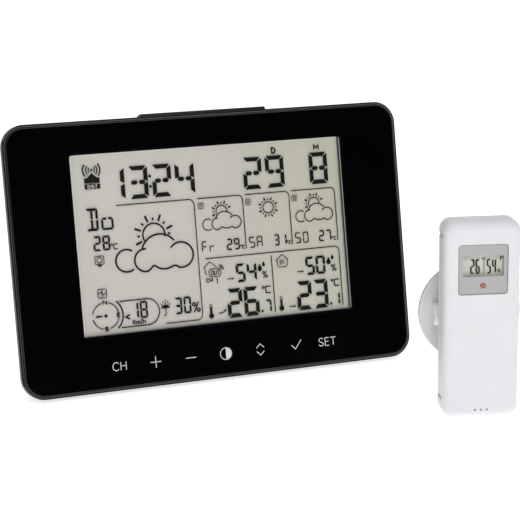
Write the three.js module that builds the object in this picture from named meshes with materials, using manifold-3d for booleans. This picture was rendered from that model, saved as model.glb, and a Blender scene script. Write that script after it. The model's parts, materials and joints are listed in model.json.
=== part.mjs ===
// Home weather station: a table console with a large display and its
// outdoor transmitter with a wall bracket. Millimetres, +Z up, the fronts
// look along -Y. Each unit is drawn upright in its own group (x across,
// y from front to back, z up) and the group places it.
import * as THREE from 'three';
import * as BufferGeometryUtils from 'three/addons/utils/BufferGeometryUtils.js';
import Module from 'manifold-3d';

// ---------------------------------------------------------------- sizes
// console
const W = 214;            // width of the front
const H = 139;            // height of the front
const R = 11.5;           // corner radius of the front
const LEAN = 10.44;       // degrees the console leans back on its stand
const LIFT = 2.0;         // height of the front bottom edge over the table
const LIP = 1.3;          // width of the frame's lip round the lens
const LENS_T = 1.8;       // thickness of the front lens
const FLANGE = 2.1;       // front of the flange behind the lens
const FLANGE_T = 1.8;
const FRAME_BACK = 6.5;
const WALL = 2.0;
const BACK = 28.5;        // rear face of the housing
const WIN_W = 147.2, WIN_H = 92.8, WIN_Z = 75.4;      // visible display
const LCD_W = 153.4, LCD_H = 99.0, LCD_Z = 74.9;
const KEY_Z = 12.7;       // row of touch symbols
const BAR_W = 68;         // snooze bar
const BAR_TOP = H + 1.6;
const BAR_TRAVEL = 1.2;
const SCREW_X = 88.5, SCREW_Z0 = 20.5, SCREW_Z1 = 118.5;
const AA_R = 7.1, AA_L = 50.0, AA_Y = 19.1, AA_Z = [27.0, 42.1, 57.2];
const BOX_X0 = 28, BOX_X1 = 82, BOX_Z0 = 19.6, BOX_Z1 = 64.6;
const STAND_HALF = 21.7, STAND_Y = 25.2, STAND_Z = 20.5, STAND_L = 44;
const STAND_OPEN = 98.4; // degrees from folded to standing
const DOOR_Y = 27.55, DOOR_Z = 19.75;
// transmitter
const TW = 37, TH = 97.2, TR = 5.5, TD = 18;
const T_SPLIT = 11.55;    // seam between its two shells
const T_WALL = 1.6;
const T_X = 95.3, T_Y = -102.7, T_YAW = -15;
const PIVOT_Y = 24, PIVOT_Z = 46.3;
const DISC_R = 25.4, DISC_Y0 = 28.0, DISC_Y1 = 31.0;
const NOTCH_Z = [9.4, 89.2];

// ---------------------------------------------------------------- helpers
const wasm = await Module();
wasm.setup();
const DEG = Math.PI / 180;

function solid(geometry) {
  let g = geometry.clone();
  if (g.attributes.normal) g.deleteAttribute('normal');
  if (g.attributes.uv) g.deleteAttribute('uv');
  g = BufferGeometryUtils.mergeVertices(g, 1e-4);
  return new wasm.Manifold(new wasm.Mesh({
    numProp: 3,
    vertProperties: new Float32Array(g.attributes.position.array),
    triVerts: new Uint32Array(g.index.array),
  }));
}
function geometryOf(manifold) {
  const m = manifold.getMesh();
  const g = new THREE.BufferGeometry();
  g.setAttribute('position', new THREE.BufferAttribute(new Float32Array(m.vertProperties), 3));
  g.setIndex(new THREE.BufferAttribute(new Uint32Array(m.triVerts), 1));
  g.computeVertexNormals();
  return g;
}
function join(...list) { return list.reduce((a, b) => a.add(b)); }
function cut(a, ...list) { return list.reduce((p, q) => p.subtract(q), a); }

function box(x0, x1, y0, y1, z0, z1) {
  const g = new THREE.BoxGeometry(x1 - x0, y1 - y0, z1 - z0);
  g.translate((x0 + x1) / 2, (y0 + y1) / 2, (z0 + z1) / 2);
  return solid(g);
}
// rounded rectangle as a Shape in x, z
function roundRect(w, h, r, cx = 0, cz = 0) {
  const s = new THREE.Shape();
  const x0 = cx - w / 2, x1 = cx + w / 2, z0 = cz - h / 2, z1 = cz + h / 2;
  s.moveTo(x0 + r, z0);
  s.lineTo(x1 - r, z0);
  s.absarc(x1 - r, z0 + r, r, -Math.PI / 2, 0, false);
  s.lineTo(x1, z1 - r);
  s.absarc(x1 - r, z1 - r, r, 0, Math.PI / 2, false);
  s.lineTo(x0 + r, z1);
  s.absarc(x0 + r, z1 - r, r, Math.PI / 2, Math.PI, false);
  s.lineTo(x0, z0 + r);
  s.absarc(x0 + r, z0 + r, r, Math.PI, Math.PI * 1.5, false);
  return s;
}
// a Shape in x, z extruded from y0 to y1
function plate(shape, y0, y1, curveSegments = 6) {
  const g = new THREE.ExtrudeGeometry(shape, { depth: y1 - y0, bevelEnabled: false, curveSegments });
  g.rotateX(Math.PI / 2);
  g.translate(0, y1, 0);
  return solid(g);
}
function shapeOf(points) {
  return new THREE.Shape(points.map(([a, b]) => new THREE.Vector2(a, b)));
}
// a polygon in y, z extruded from x0 to x1
function prismX(points, x0, x1) {
  const g = new THREE.ExtrudeGeometry(shapeOf(points), { depth: x1 - x0, bevelEnabled: false });
  g.applyMatrix4(new THREE.Matrix4().makeBasis(
    new THREE.Vector3(0, 1, 0), new THREE.Vector3(0, 0, 1), new THREE.Vector3(1, 0, 0)));
  g.translate(x0, 0, 0);
  return solid(g);
}
// a polygon in x, z given as points, extruded along y
function prismY(points, y0, y1) { return plate(shapeOf(points), y0, y1); }
// cylinders along each axis, from a to b
function cylX(y, z, r, a, b, seg = 20, r2 = r) {
  const g = new THREE.CylinderGeometry(r2, r, b - a, seg);
  g.rotateZ(-Math.PI / 2);
  g.translate((a + b) / 2, y, z);
  return solid(g);
}
function cylY(x, z, r, a, b, seg = 20, r2 = r) {
  const g = new THREE.CylinderGeometry(r2, r, b - a, seg);
  g.translate(x, (a + b) / 2, z);
  return solid(g);
}
function cylZ(x, y, r, a, b, seg = 20, r2 = r) {
  const g = new THREE.CylinderGeometry(r2, r, b - a, seg);
  g.rotateX(Math.PI / 2);
  g.translate(x, y, (a + b) / 2);
  return solid(g);
}
// points of a rounded rectangle, always the same count
function outline(w, h, r, cx, cz, n = 5) {
  const pts = [];
  const cs = [[1, -1, -90], [1, 1, 0], [-1, 1, 90], [-1, -1, 180]];
  for (const [sx, sz, a0] of cs) {
    for (let i = 0; i <= n; i++) {
      const a = (a0 + (90 * i) / n) * DEG;
      pts.push([cx + sx * (w / 2 - r) + r * Math.cos(a), cz + sz * (h / 2 - r) + r * Math.sin(a)]);
    }
  }
  return pts;
}
// a closed body through outlines stacked along y
function loft(levels) {
  const n = levels[0].pts.length;
  const pos = [];
  const idx = [];
  for (const l of levels) for (const [x, z] of l.pts) pos.push(x, l.y, z);
  for (let k = 0; k + 1 < levels.length; k++) {
    for (let i = 0; i < n; i++) {
      const j = (i + 1) % n;
      const a = k * n + i, b = k * n + j, c = (k + 1) * n + j, d = (k + 1) * n + i;
      idx.push(a, b, c, a, c, d);
    }
  }
  for (const [k, flip] of [[0, false], [levels.length - 1, true]]) {
    let cx = 0, cz = 0;
    for (const [x, z] of levels[k].pts) { cx += x / n; cz += z / n; }
    const c = pos.length / 3;
    pos.push(cx, levels[k].y, cz);
    for (let i = 0; i < n; i++) {
      const j = (i + 1) % n;
      if (flip) idx.push(k * n + i, k * n + j, c); else idx.push(k * n + j, k * n + i, c);
    }
  }
  const g = new THREE.BufferGeometry();
  g.setAttribute('position', new THREE.Float32BufferAttribute(pos, 3));
  g.setIndex(idx);
  let v = 0;
  const P = new THREE.Vector3(), Q = new THREE.Vector3(), S = new THREE.Vector3();
  for (let i = 0; i < idx.length; i += 3) {
    P.fromArray(pos, idx[i] * 3); Q.fromArray(pos, idx[i + 1] * 3); S.fromArray(pos, idx[i + 2] * 3);
    v += P.dot(Q.cross(S));
  }
  if (v < 0) {
    for (let i = 0; i < idx.length; i += 3) { const t = idx[i]; idx[i] = idx[i + 1]; idx[i + 1] = t; }
    g.setIndex(idx);
  }
  return solid(g);
}
// rounded-rectangle body whose outline steps in by d at each y
function shellBody(w, h, r, cz, steps, rMin = 2, rFall = 1) {
  return loft(steps.map(([y, d]) => ({
    y, pts: outline(w - 2 * d, h - 2 * d, Math.max(r - rFall * d, rMin), 0, cz),
  })));
}

const paint = (hex, roughness, metalness = 0) =>
  new THREE.MeshStandardMaterial({ color: hex, roughness, metalness });
const MAT = {
  frame: () => paint(0x17171a, 0.45), lens: () => paint(0x050506, 0.06),
  housing: () => paint(0x1b1b1d, 0.62), glass: () => paint(0xbfc2b4, 0.1),
  reflector: () => paint(0xd7d8cc, 0.4), holder: () => paint(0xe8e8e4, 0.5),
  rubber: () => paint(0x111111, 0.9), pcb: () => paint(0x1f5f3a, 0.45),
  flex: () => paint(0xb8792c, 0.4), ferrite: () => paint(0x2a2a2e, 0.7),
  copper: () => paint(0xb06a35, 0.35, 1), module: () => paint(0x202328, 0.5),
  steel: () => paint(0xb9bbbd, 0.35, 1), cell: () => paint(0x5d6a72, 0.35, 0.6),
  white: () => paint(0xe6e5e7, 0.5), grey: () => paint(0xb6b5b8, 0.45),
  window: () => paint(0xd5d8cf, 0.05), led: () => paint(0xd24f3f, 0.3),
  sensor: () => paint(0xf0f0f0, 0.5), bar: () => paint(0x242427, 0.55),
};

const root = new THREE.Group();
const consoleUnit = new THREE.Group();
const transmitter = new THREE.Group();
root.add(consoleUnit, transmitter);
function add(group, name, body, mat) {
  const mesh = new THREE.Mesh(geometryOf(body), mat());
  mesh.name = name;
  group.add(mesh);
  return mesh;
}
const C = (name, body, mat) => add(consoleUnit, name, body, mat);
const T = (name, body, mat) => add(transmitter, name, body, mat);

// ================================================================ console
const CZ = H / 2;

// front frame: thin lip, flange behind the lens, side wall and screw bosses
{
  let f = shellBody(W, H, R, CZ, [[0.4, 0.55], [0.9, 0], [5.7, 0], [FRAME_BACK, 0.7]]);
  f = cut(f,
    plate(roundRect(W - 2 * LIP, H - 2 * LIP, R - LIP, 0, CZ), -1, FLANGE),
    plate(roundRect(W - 2 * WALL, H - 2 * WALL, R - WALL, 0, CZ), FLANGE + FLANGE_T, FRAME_BACK + 1),
    box(-LCD_W / 2 - 0.3, LCD_W / 2 + 0.3, 1.5, 4.5, LCD_Z - LCD_H / 2 - 0.3, LCD_Z + LCD_H / 2 + 0.3),
    box(-75.3, 75.3, 1.5, 4.5, KEY_Z - 6.8, KEY_Z + 6.8),
    box(-BAR_W / 2 - 0.4, BAR_W / 2 + 0.4, FLANGE - 0.05, FRAME_BACK + 0.5, 136.0, H + 1),
    box(-37.2, 37.2, FLANGE - 0.05, 4.5, 133.2, 137.05));
  for (const sx of [-1, 1]) {
    for (const z of [SCREW_Z0, SCREW_Z1]) {
      f = join(f, cylY(sx * SCREW_X, z, 3.4, 3.0, 9.3, 18));
      f = cut(f, cylY(sx * SCREW_X, z, 1.25, 4.6, 10, 14));
    }
  }
  C('front_frame', f, MAT.frame);
}
// front lens: one flat sheet over display and keys
C('front_lens', loft([[0, 0.35], [0.35, 0], [LENS_T, 0]].map(([y, d]) => ({
  y, pts: outline(W - 2 * LIP - 0.6 - 2 * d, H - 2 * LIP - 0.6 - 2 * d, R - LIP - 0.3 - d, 0, CZ, 6) }))), MAT.lens);
// display stack
C('lcd_glass', box(-LCD_W / 2, LCD_W / 2, FLANGE, 4.3, LCD_Z - LCD_H / 2, LCD_Z + LCD_H / 2), MAT.glass);
C('lcd_reflector', box(-75.5, 75.5, 4.6, 7.1, 26.8, 120.7), MAT.reflector);
C('zebra_connector', box(-70, 70, 4.6, 9.3, 122.2, 124.2), MAT.rubber);
C('backlight_led', box(75.9, 77.1, 4.9, 6.8, 60, 88), MAT.sensor);
{
  let h = plate(roundRect(166, 109, 3, 0, 75), 4.2, 9.0, 3);
  h = cut(h,
    box(-77, 77, 4, 4.6, 25.1, 124.7),
    box(-75.8, 75.8, 4, 7.4, 26.5, 121.0),
    box(75, 77.4, 4, 7.1, 59.7, 88.3),
    box(-70.3, 70.3, 4, 10, 121.9, 124.5),
    box(-62, -4, 6, 10, 38, 108), box(4, 62, 6, 10, 38, 108));
  C('lcd_holder', h, MAT.holder);
}
// boards
{
  let b = plate(roundRect(160, 59.5, 1.5, 0, 98.25), 9.6, 11.2, 2);
  b = join(b, box(-20, 4, 11.1, 12.6, 84, 104), box(14, 22, 11.1, 12.4, 90, 98));
  C('main_board', b, MAT.pcb);
}
C('touch_board', box(-75, 75, FLANGE, FLANGE + 1.0, KEY_Z - 6.5, KEY_Z + 6.5), MAT.pcb);
C('touch_ribbon', prismX([[3.4, 10], [3.65, 10], [3.65, 18.7], [9.3, 18.7], [9.3, 72], [9.05, 72],
  [9.05, 18.95], [3.4, 18.95]], -52, -40), MAT.flex);
C('antenna_ferrite', cylX(17.5, 116, 4.5, -78, -28, 20), MAT.ferrite);
C('antenna_coil', cut(cylX(17.5, 116, 6.0, -64, -42, 24), cylX(17.5, 116, 4.8, -65, -41, 24)), MAT.copper);
C('rf_module', join(box(40, 64, 11.5, 12.7, 98, 114), box(44, 56, 12.6, 14.6, 101, 111)), MAT.module);
C('buzzer', join(cylY(-62, 40, 11, 20.4, 26.2, 28), cylY(-62, 40, 4, 18.9, 20.5, 16)), MAT.module);
C('room_sensor', join(box(-88, -76, 11.5, 12.7, 72, 84), box(-86, -80, 12.6, 15.5, 75, 81)), MAT.sensor);
C('snooze_switch', join(box(-3.2, 3.2, 9.4, 13.6, 128.3, 130.4), cylZ(0, 11.2, 1.6, 130.3, 131.2, 16)), MAT.module);

// snooze and light bar in the top edge
{
  let b = prismX([[2.45, 135.0], [13.8, 135.0], [13.8, 136.6], [12.4, 138.9], [9.2, 140.2],
    [4.6, BAR_TOP], [3.2, BAR_TOP - 0.15], [2.45, BAR_TOP - 0.9]], -BAR_W / 2, BAR_W / 2);
  b = join(b, box(-36.6, 36.6, 2.55, 4.05, 134.9, 136.5), box(-5, 5, 9.8, 12.6, 132.6, 135.2));
  C('snooze_bar', b, MAT.bar);
}

// rear housing
const HOUSE = [[4.4, 2.4], [7.0, 2.4], [14, 4.0], [20, 6.2], [24.5, 9.0], [27.2, 12.5], [BACK, 16.5]];
const HOUSE_IN = [[4.0, 4.4], [7.0, 4.4], [14, 6.1], [20, 8.4], [24.0, 11.2], [26.5, 15.5]];
{
  const outer = shellBody(W, H, R, CZ, HOUSE, 5, 0.25);
  const inner = shellBody(W, H, R, CZ, HOUSE_IN, 4, 0.35);
  let h = cut(outer, inner);
  const inside = [
    box(BOX_X0 - 3, BOX_X1 + 3, 10.0, BACK + 1, BOX_Z0 - 2.7, BOX_Z1 + 2.7),  // battery box
    box(-24, 24, 19.6, BACK + 1, 8, 26),                                       // stand pocket, hinge end
    box(-24, 24, 23.1, BACK + 1, 25, 67.4),
    box(-74, -71, 17.5, 27, 110, 122), box(-35, -32, 17.5, 27, 110, 122),      // aerial cradles
  ];
  for (const sx of [-1, 1]) for (const z of [SCREW_Z0, SCREW_Z1]) inside.push(cylY(sx * SCREW_X, z, 4.7, 9.6, BACK + 1, 20));
  h = join(h, join(...inside).intersect(outer));
  h = cut(h,
    box(BOX_X0, BOX_X1, 11.6, BACK + 2, BOX_Z0, BOX_Z1),
    box(BOX_X0 - 1.5, BOX_X1 + 1.5, 26.3, BACK + 2, BOX_Z0 - 1.2, BOX_Z1 + 1.2),
    box(-22, 22, 21.8, BACK + 2, 6, 24.2),
    box(-22, 22, 25.1, BACK + 2, 24, 65.4),
    box(-9, 9, 25.1, BACK + 2, 65, 69.6),                                      // finger notch
    cylX(STAND_Y, STAND_Z, 1.8, -23.7, 23.7, 20),
    cylX(17.5, 116, 4.8, -79, -27, 20),
    box(-BAR_W / 2 - 0.4, BAR_W / 2 + 0.4, 3, 14.3, 132.2, H + 3));
  for (const sx of [-1, 1]) {
    for (const z of [SCREW_Z0, SCREW_Z1]) {
      h = cut(h, cylY(sx * SCREW_X, z, 3.3, 19, BACK + 2, 20), cylY(sx * SCREW_X, z, 1.6, 9, 20, 14));
    }
  }
  for (let i = 0; i < 6; i++) {                                                // sound slots
    const z = 31.5 + i * 3.4;
    h = cut(h, plate(roundRect(24, 1.7, 0.84, -62, z), 25.5, BACK + 1, 3));
  }
  for (let i = 0; i < 8; i++) {                                                // air slots
    const z = 68 + i * 3.4;
    h = cut(h, plate(roundRect(20, 1.7, 0.84, -74, z), 25.5, BACK + 1, 3));
  }
  C('rear_housing', h, MAT.housing);
}
// battery door, rounded along its hinge edge
{
  const p = [];
  for (let i = 0; i <= 8; i++) {
    const a = (180 + (180 * i) / 8) * DEG;
    p.push([DOOR_Y + 0.95 * Math.cos(a), DOOR_Z + 0.95 * Math.sin(a)]);
  }
  p.push([DOOR_Y + 0.95, BOX_Z1 + 0.85], [DOOR_Y - 0.95, BOX_Z1 + 0.85]);
  let d = prismX(p, BOX_X0 - 1.15, BOX_X1 + 1.15);
  d = cut(d, prismX([[27.6, 60.2], [29, 58.6], [29, 62.6], [27.6, 62.2]], 48, 62));
  C('battery_door', d, MAT.housing);
}
// AA cells, laid the other way round by turns, and their contacts
AA_Z.forEach((z, i) => {
  const dir = i % 2 === 0 ? 1 : -1;
  const x0 = 30.6, x1 = x0 + AA_L;
  const can = dir > 0 ? cylX(AA_Y, z, AA_R, x0, x1 - 1.4, 24) : cylX(AA_Y, z, AA_R, x0 + 1.4, x1, 24);
  const nub = dir > 0 ? cylX(AA_Y, z, 2.6, x1 - 1.6, x1, 14) : cylX(AA_Y, z, 2.6, x0, x0 + 1.6, 14);
  C('battery_' + (i + 1), join(can, nub), MAT.cell);
});
{
  let l = box(28.25, 28.75, 14, 24.2, 20.6, 63.6);
  let r = box(81.25, 81.75, 14, 24.2, 20.6, 63.6);
  l = join(l, cylX(AA_Y, AA_Z[0], 3.6, 28.6, 30.2, 14, 2.4), cylX(AA_Y, AA_Z[2], 3.6, 28.6, 30.2, 14, 2.4));
  r = join(r, cylX(AA_Y, AA_Z[1], 2.0, 80.95, 81.4, 14, 3.0));
  C('contact_left', l, MAT.steel);
  C('contact_right', r, MAT.steel);
}
// rear screws
let n = 0;
for (const z of [SCREW_Z0, SCREW_Z1]) {
  for (const sx of [-1, 1]) {
    n += 1;
    let s = join(cylY(sx * SCREW_X, z, 2.7, 19.3, 21.0, 20, 2.4), cylY(sx * SCREW_X, z, 1.0, 5.2, 19.4, 12));
    s = cut(s, box(sx * SCREW_X - 1.6, sx * SCREW_X + 1.6, 20.2, 22, z - 0.3, z + 0.3),
      box(sx * SCREW_X - 0.3, sx * SCREW_X + 0.3, 20.2, 22, z - 1.6, z + 1.6));
    C('case_screw_' + n, s, MAT.steel);
  }
}
// rubber feet under the housing, cut level with the table
const tableZ = (y) => (y * Math.sin(LEAN * DEG) - LIFT) / Math.cos(LEAN * DEG);
for (const [side, x] of [['left', -78], ['right', 78]]) {
  C('foot_' + side, prismX([[8.5, tableZ(8.5)], [16.5, tableZ(16.5)], [16.5, 4.55], [14, 3.65], [8.5, 2.4]],
    x - 8, x + 8), MAT.rubber);
}
// fold-out stand, drawn folded and then swung out about its trunnions
{
  const swing = (m) => {
    const g = geometryOf(m);
    g.translate(0, -STAND_Y, -STAND_Z);
    g.rotateX(-STAND_OPEN * DEG);
    g.translate(0, STAND_Y, STAND_Z);
    return solid(g);
  };
  const knuckle = cylX(STAND_Y, STAND_Z, 2.9, -STAND_HALF, STAND_HALF, 24);
  let s = join(knuckle, box(-STAND_HALF, STAND_HALF, STAND_Y + 0.2, STAND_Y + 2.9, STAND_Z, STAND_Z + STAND_L));
  s = join(s, cylX(STAND_Y, STAND_Z, 1.62, -23.3, 23.3, 20));
  s = cut(s, plate(roundRect(22, 18, 5, 0, STAND_Z + 21), STAND_Y - 1, STAND_Y + 4, 5));
  // pads sit in shallow seats near the free end
  const seats = [-15.5, 15.5];
  for (const x of seats) s = cut(s, box(x - 4.5, x + 4.5, STAND_Y + 2.1, STAND_Y + 4, STAND_Z + 36.6, STAND_Z + 43));
  C('stand', swing(s), MAT.housing);
  // pads: from the seat to the table, cut level
  const a = -STAND_OPEN * DEG, cs = Math.cos(a), sn = Math.sin(a);
  const toOpen = ([y, z]) => [STAND_Y + (y - STAND_Y) * cs - (z - STAND_Z) * sn, STAND_Z + (y - STAND_Y) * sn + (z - STAND_Z) * cs];
  for (const [side, x] of [['left', -15.5], ['right', 15.5]]) {
    const p0 = toOpen([STAND_Y + 2.35, STAND_Z + 36.9]);
    const p1 = toOpen([STAND_Y + 2.35, STAND_Z + 42.7]);
    const q1 = toOpen([STAND_Y + 5.5, STAND_Z + 42.7]);
    const q0 = toOpen([STAND_Y + 5.5, STAND_Z + 36.9]);
    const onTable = (p, q) => {           // where the edge p to q meets the table
      const f = (r) => r[1] - tableZ(r[0]);
      const t = f(p) / (f(p) - f(q));
      return [p[0] + t * (q[0] - p[0]), p[1] + t * (q[1] - p[1])];
    };
    C('stand_pad_' + side, prismX([p0, onTable(p0, q0), onTable(p1, q1), p1], x - 4.2, x + 4.2), MAT.rubber);
  }
}
consoleUnit.rotation.x = -LEAN * DEG;
consoleUnit.position.set(0, 0, LIFT);

// ============================================================ transmitter
const TZ = TH / 2;
const notches = () => NOTCH_Z.flatMap((z) => [-1, 1].map((sx) => prismY([[sx * (TW / 2 + 1), z - 1.7],
  [sx * (TW / 2 + 1), z + 1.7], [sx * (TW / 2 - 1.0), z + 0.25], [sx * (TW / 2 - 1.0), z - 0.25]], 5.2, TD + 1)));
{
  const outer = shellBody(TW, TH, TR, TZ, [[0, 3.7], [0.35, 2.45], [1.0, 1.4], [2.2, 0.6], [4.0, 0.12], [5.5, 0],
    [T_SPLIT - 0.15, 0]], 1.8);
  const inner = shellBody(TW, TH, TR, TZ, [[1.6, 2.9], [3.0, 2.0], [5.5, T_WALL], [T_SPLIT + 1, T_WALL]], 1.5);
  let s = cut(outer, inner);
  for (const sx of [-1, 1]) s = join(s, cylY(sx * 13, 90.4, 2.3, 1.2, 5.3, 16));
  s = cut(s,
    plate(roundRect(24.0, 24.4, 1.6, 0, 74.05), -1, 4, 4),
    cylY(-13, 90.4, 0.95, 2.6, 6, 12), cylY(13, 90.4, 0.95, 2.6, 6, 12),
    ...[-2.9, 0, 2.9].map((x) => cylY(x, 4.5, 0.5, -1, 3.2, 10)), ...notches());
  T('tx_front_shell', s, MAT.white);
}
{
  let f = plate(roundRect(23.5, 23.9, 1.4, 0, 74.05), 0.35, 2.6, 4);
  f = cut(f, plate(roundRect(19.6, 10.3, 0.6, 0, 75.85), 0, 2, 3),
    box(-10.7, 10.7, 1.35, 3, 69.1, 82.6), cylY(0, 66.2, 1.4, 0, 3, 20));
  T('tx_display_frame', f, MAT.grey);
}
T('tx_window', box(-10.4, 10.4, 1.65, 2.35, 69.4, 82.3), MAT.window);
T('tx_lcd', box(-11.2, 11.2, 2.9, 4.5, 68.8, 84.0), MAT.glass);
{
  let l = cylY(0, 66.2, 1.15, 1.1, 5.2, 16);
  l = join(l, cylY(0, 66.2, 0.7, 0.7, 1.2, 16, 1.15));
  T('tx_led', l, MAT.led);
}
{
  let b = plate(roundRect(31, 41, 1, 0, 72.5), 5.6, 6.8, 2);
  b = cut(b, cylY(-13, 90.4, 1.15, 5, 8, 12), cylY(13, 90.4, 1.15, 5, 8, 12));
  b = join(b, box(-6, 6, 6.7, 8.3, 74, 84));
  T('tx_board', b, MAT.pcb);
}
T('tx_sensor', box(-2.6, 2.6, 3.0, 4.0, 3.2, 7.6), MAT.sensor);
{
  let f = plate(roundRect(33.2, 93.0, 3.6, 0, TZ), 9.4, 10.9, 4);
  f = join(f, box(-12.6, 12.6, 4.3, 10.9, 2.2, 51.6));
  f = cut(f, box(-11.5, 11.5, 5.2, 12, 2.9, 50.7),
    box(-11, -3.2, 8, 12, 58.2, 61.8), cylY(7, 60, 2.0, 8, 12, 18),
    cylY(-13, 90.4, 1.15, 9, 12, 12), cylY(13, 90.4, 1.15, 9, 12, 12));
  T('tx_inner_frame', f, MAT.white);
}
[-5.4, 5.4].forEach((x, i) => {
  const z0 = 5.2, z1 = 49.3;
  const can = i === 0 ? cylZ(x, 10.5, 5.1, z0, z1 - 0.9, 22) : cylZ(x, 10.5, 5.1, z0 + 0.9, z1, 22);
  const nub = i === 0 ? cylZ(x, 10.5, 1.8, z1 - 1.1, z1, 12) : cylZ(x, 10.5, 1.8, z0, z0 + 1.1, 12);
  T('tx_battery_' + (i + 1), join(can, nub), MAT.cell);
});
T('tx_contact_bottom', join(box(-10.8, 10.8, 6.6, 14.4, 3.1, 3.5), cylZ(-5.4, 10.5, 2.6, 3.4, 4.9, 14, 1.9)), MAT.steel);
T('tx_contact_top', join(box(-10.8, 10.8, 6.6, 14.4, 50.0, 50.4), cylZ(5.4, 10.5, 1.9, 49.6, 50.1, 14, 2.6)), MAT.steel);
T('tx_channel_slider', join(box(-10.4, -7.6, 7.4, 11.7, 58.7, 61.3), box(-11.4, -6.6, 7.2, 8.0, 57.6, 62.4)), MAT.module);
T('tx_button', join(cylY(7, 60, 1.7, 8.0, 11.7, 18), cylY(7, 60, 2.4, 7.6, 8.4, 18)), MAT.module);
for (const [i, sx] of [[1, -1], [2, 1]]) {
  T('tx_screw_' + i, join(cylY(sx * 13, 90.4, 2.0, 11.2, 12.3, 16), cylY(sx * 13, 90.4, 0.75, 3.2, 11.3, 10)), MAT.steel);
}
// rear cover with the socket for the bracket arm
{
  const outer = shellBody(TW, TH, TR, TZ, [[T_SPLIT + 0.15, 0], [15.0, 0.2], [16.6, 0.8], [17.5, 1.7], [TD, 3.2]], 2.2);
  const inner = shellBody(TW, TH, TR, TZ, [[T_SPLIT - 1, T_WALL], [15.0, 1.8], [16.4, 3.0]], 1.8);
  let c = cut(outer, inner);
  c = join(c, plate(roundRect(17, 12.4, 1.5, 0, PIVOT_Z), 17, 19.3, 3));
  c = cut(c, box(-4.3, 4.3, 16, 20, PIVOT_Z - 3.3, PIVOT_Z + 3.3), ...notches());
  T('tx_rear_cover', c, MAT.white);
}
// wall bracket: arm, hinge pin and disc
{
  const arc = [];
  for (let i = 0; i <= 12; i++) {
    const a = (-90 + (180 * i) / 12) * DEG;
    arc.push([PIVOT_Y + 4.6 * Math.cos(a), PIVOT_Z + 4.6 * Math.sin(a)]);
  }
  let a = prismX([[19.6, PIVOT_Z - 4.6], ...arc, [19.6, PIVOT_Z + 4.6]], -13.9, 13.9);
  a = join(a, box(-4, 4, 16.7, 20, PIVOT_Z - 3, PIVOT_Z + 3));
  a = cut(a, cylX(PIVOT_Y, PIVOT_Z, 1.65, -15, 15, 18));
  T('bracket_arm', a, MAT.white);
}
T('bracket_pin', cylX(PIVOT_Y, PIVOT_Z, 1.5, -18.4, 18.4, 18), MAT.steel);
{
  const profile = [[0, DISC_Y0], [DISC_R - 0.9, DISC_Y0], [DISC_R - 0.25, DISC_Y0 + 0.3], [DISC_R, DISC_Y0 + 0.9],
    [DISC_R, DISC_Y1 - 0.5], [DISC_R - 0.5, DISC_Y1], [0, DISC_Y1]].map(([r, y]) => new THREE.Vector2(r, y));
  const g = new THREE.LatheGeometry(profile, 48);
  g.translate(0, 0, 0);
  let d = solid(g).translate([0, 0, PIVOT_Z]);
  for (const sx of [-1, 1]) {
    const p = [];
    for (let i = 0; i <= 12; i++) {
      const a = (90 + (180 * i) / 12) * DEG;
      p.push([PIVOT_Y + 5.1 * Math.cos(a), PIVOT_Z + 5.1 * Math.sin(a)]);
    }
    p.push([DISC_Y0 + 0.5, PIVOT_Z - 5.1], [DISC_Y0 + 0.5, PIVOT_Z + 5.1]);
    d = join(d, prismX(p, sx > 0 ? 14.3 : -19.2, sx > 0 ? 19.2 : -14.3));
  }
  d = cut(d, cylX(PIVOT_Y, PIVOT_Z, 1.65, -18.7, 18.7, 18), cylX(PIVOT_Y, PIVOT_Z, 4.9, -14.3, 14.3, 28));
  for (const z of [PIVOT_Z - 14.5, PIVOT_Z + 14.5]) {
    d = cut(d, cylY(0, z, 2.0, DISC_Y0 - 1, DISC_Y1 + 1, 18));
  }
  T('bracket_disc', d, MAT.white);
}
transmitter.position.set(T_X, T_Y, 0);
transmitter.rotation.z = T_YAW * DEG;

// the whole object stands centred over the origin
root.updateMatrixWorld(true);
const whole = new THREE.Box3().setFromObject(root, true);
const mid = whole.getCenter(new THREE.Vector3());
for (const unit of [consoleUnit, transmitter]) {
  unit.position.x -= mid.x;
  unit.position.y -= mid.y;
  unit.position.z -= whole.min.z;
}
root.updateMatrixWorld(true);

export default root;
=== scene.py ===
# Home weather station: the looks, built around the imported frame.
# Every piece is made in its unit's own millimetre frame (x across, y from
# front to back, z up) and placed by the unit's matrix.
import json
import math

import bmesh
import bpy
from mathutils import Matrix, Vector

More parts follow.
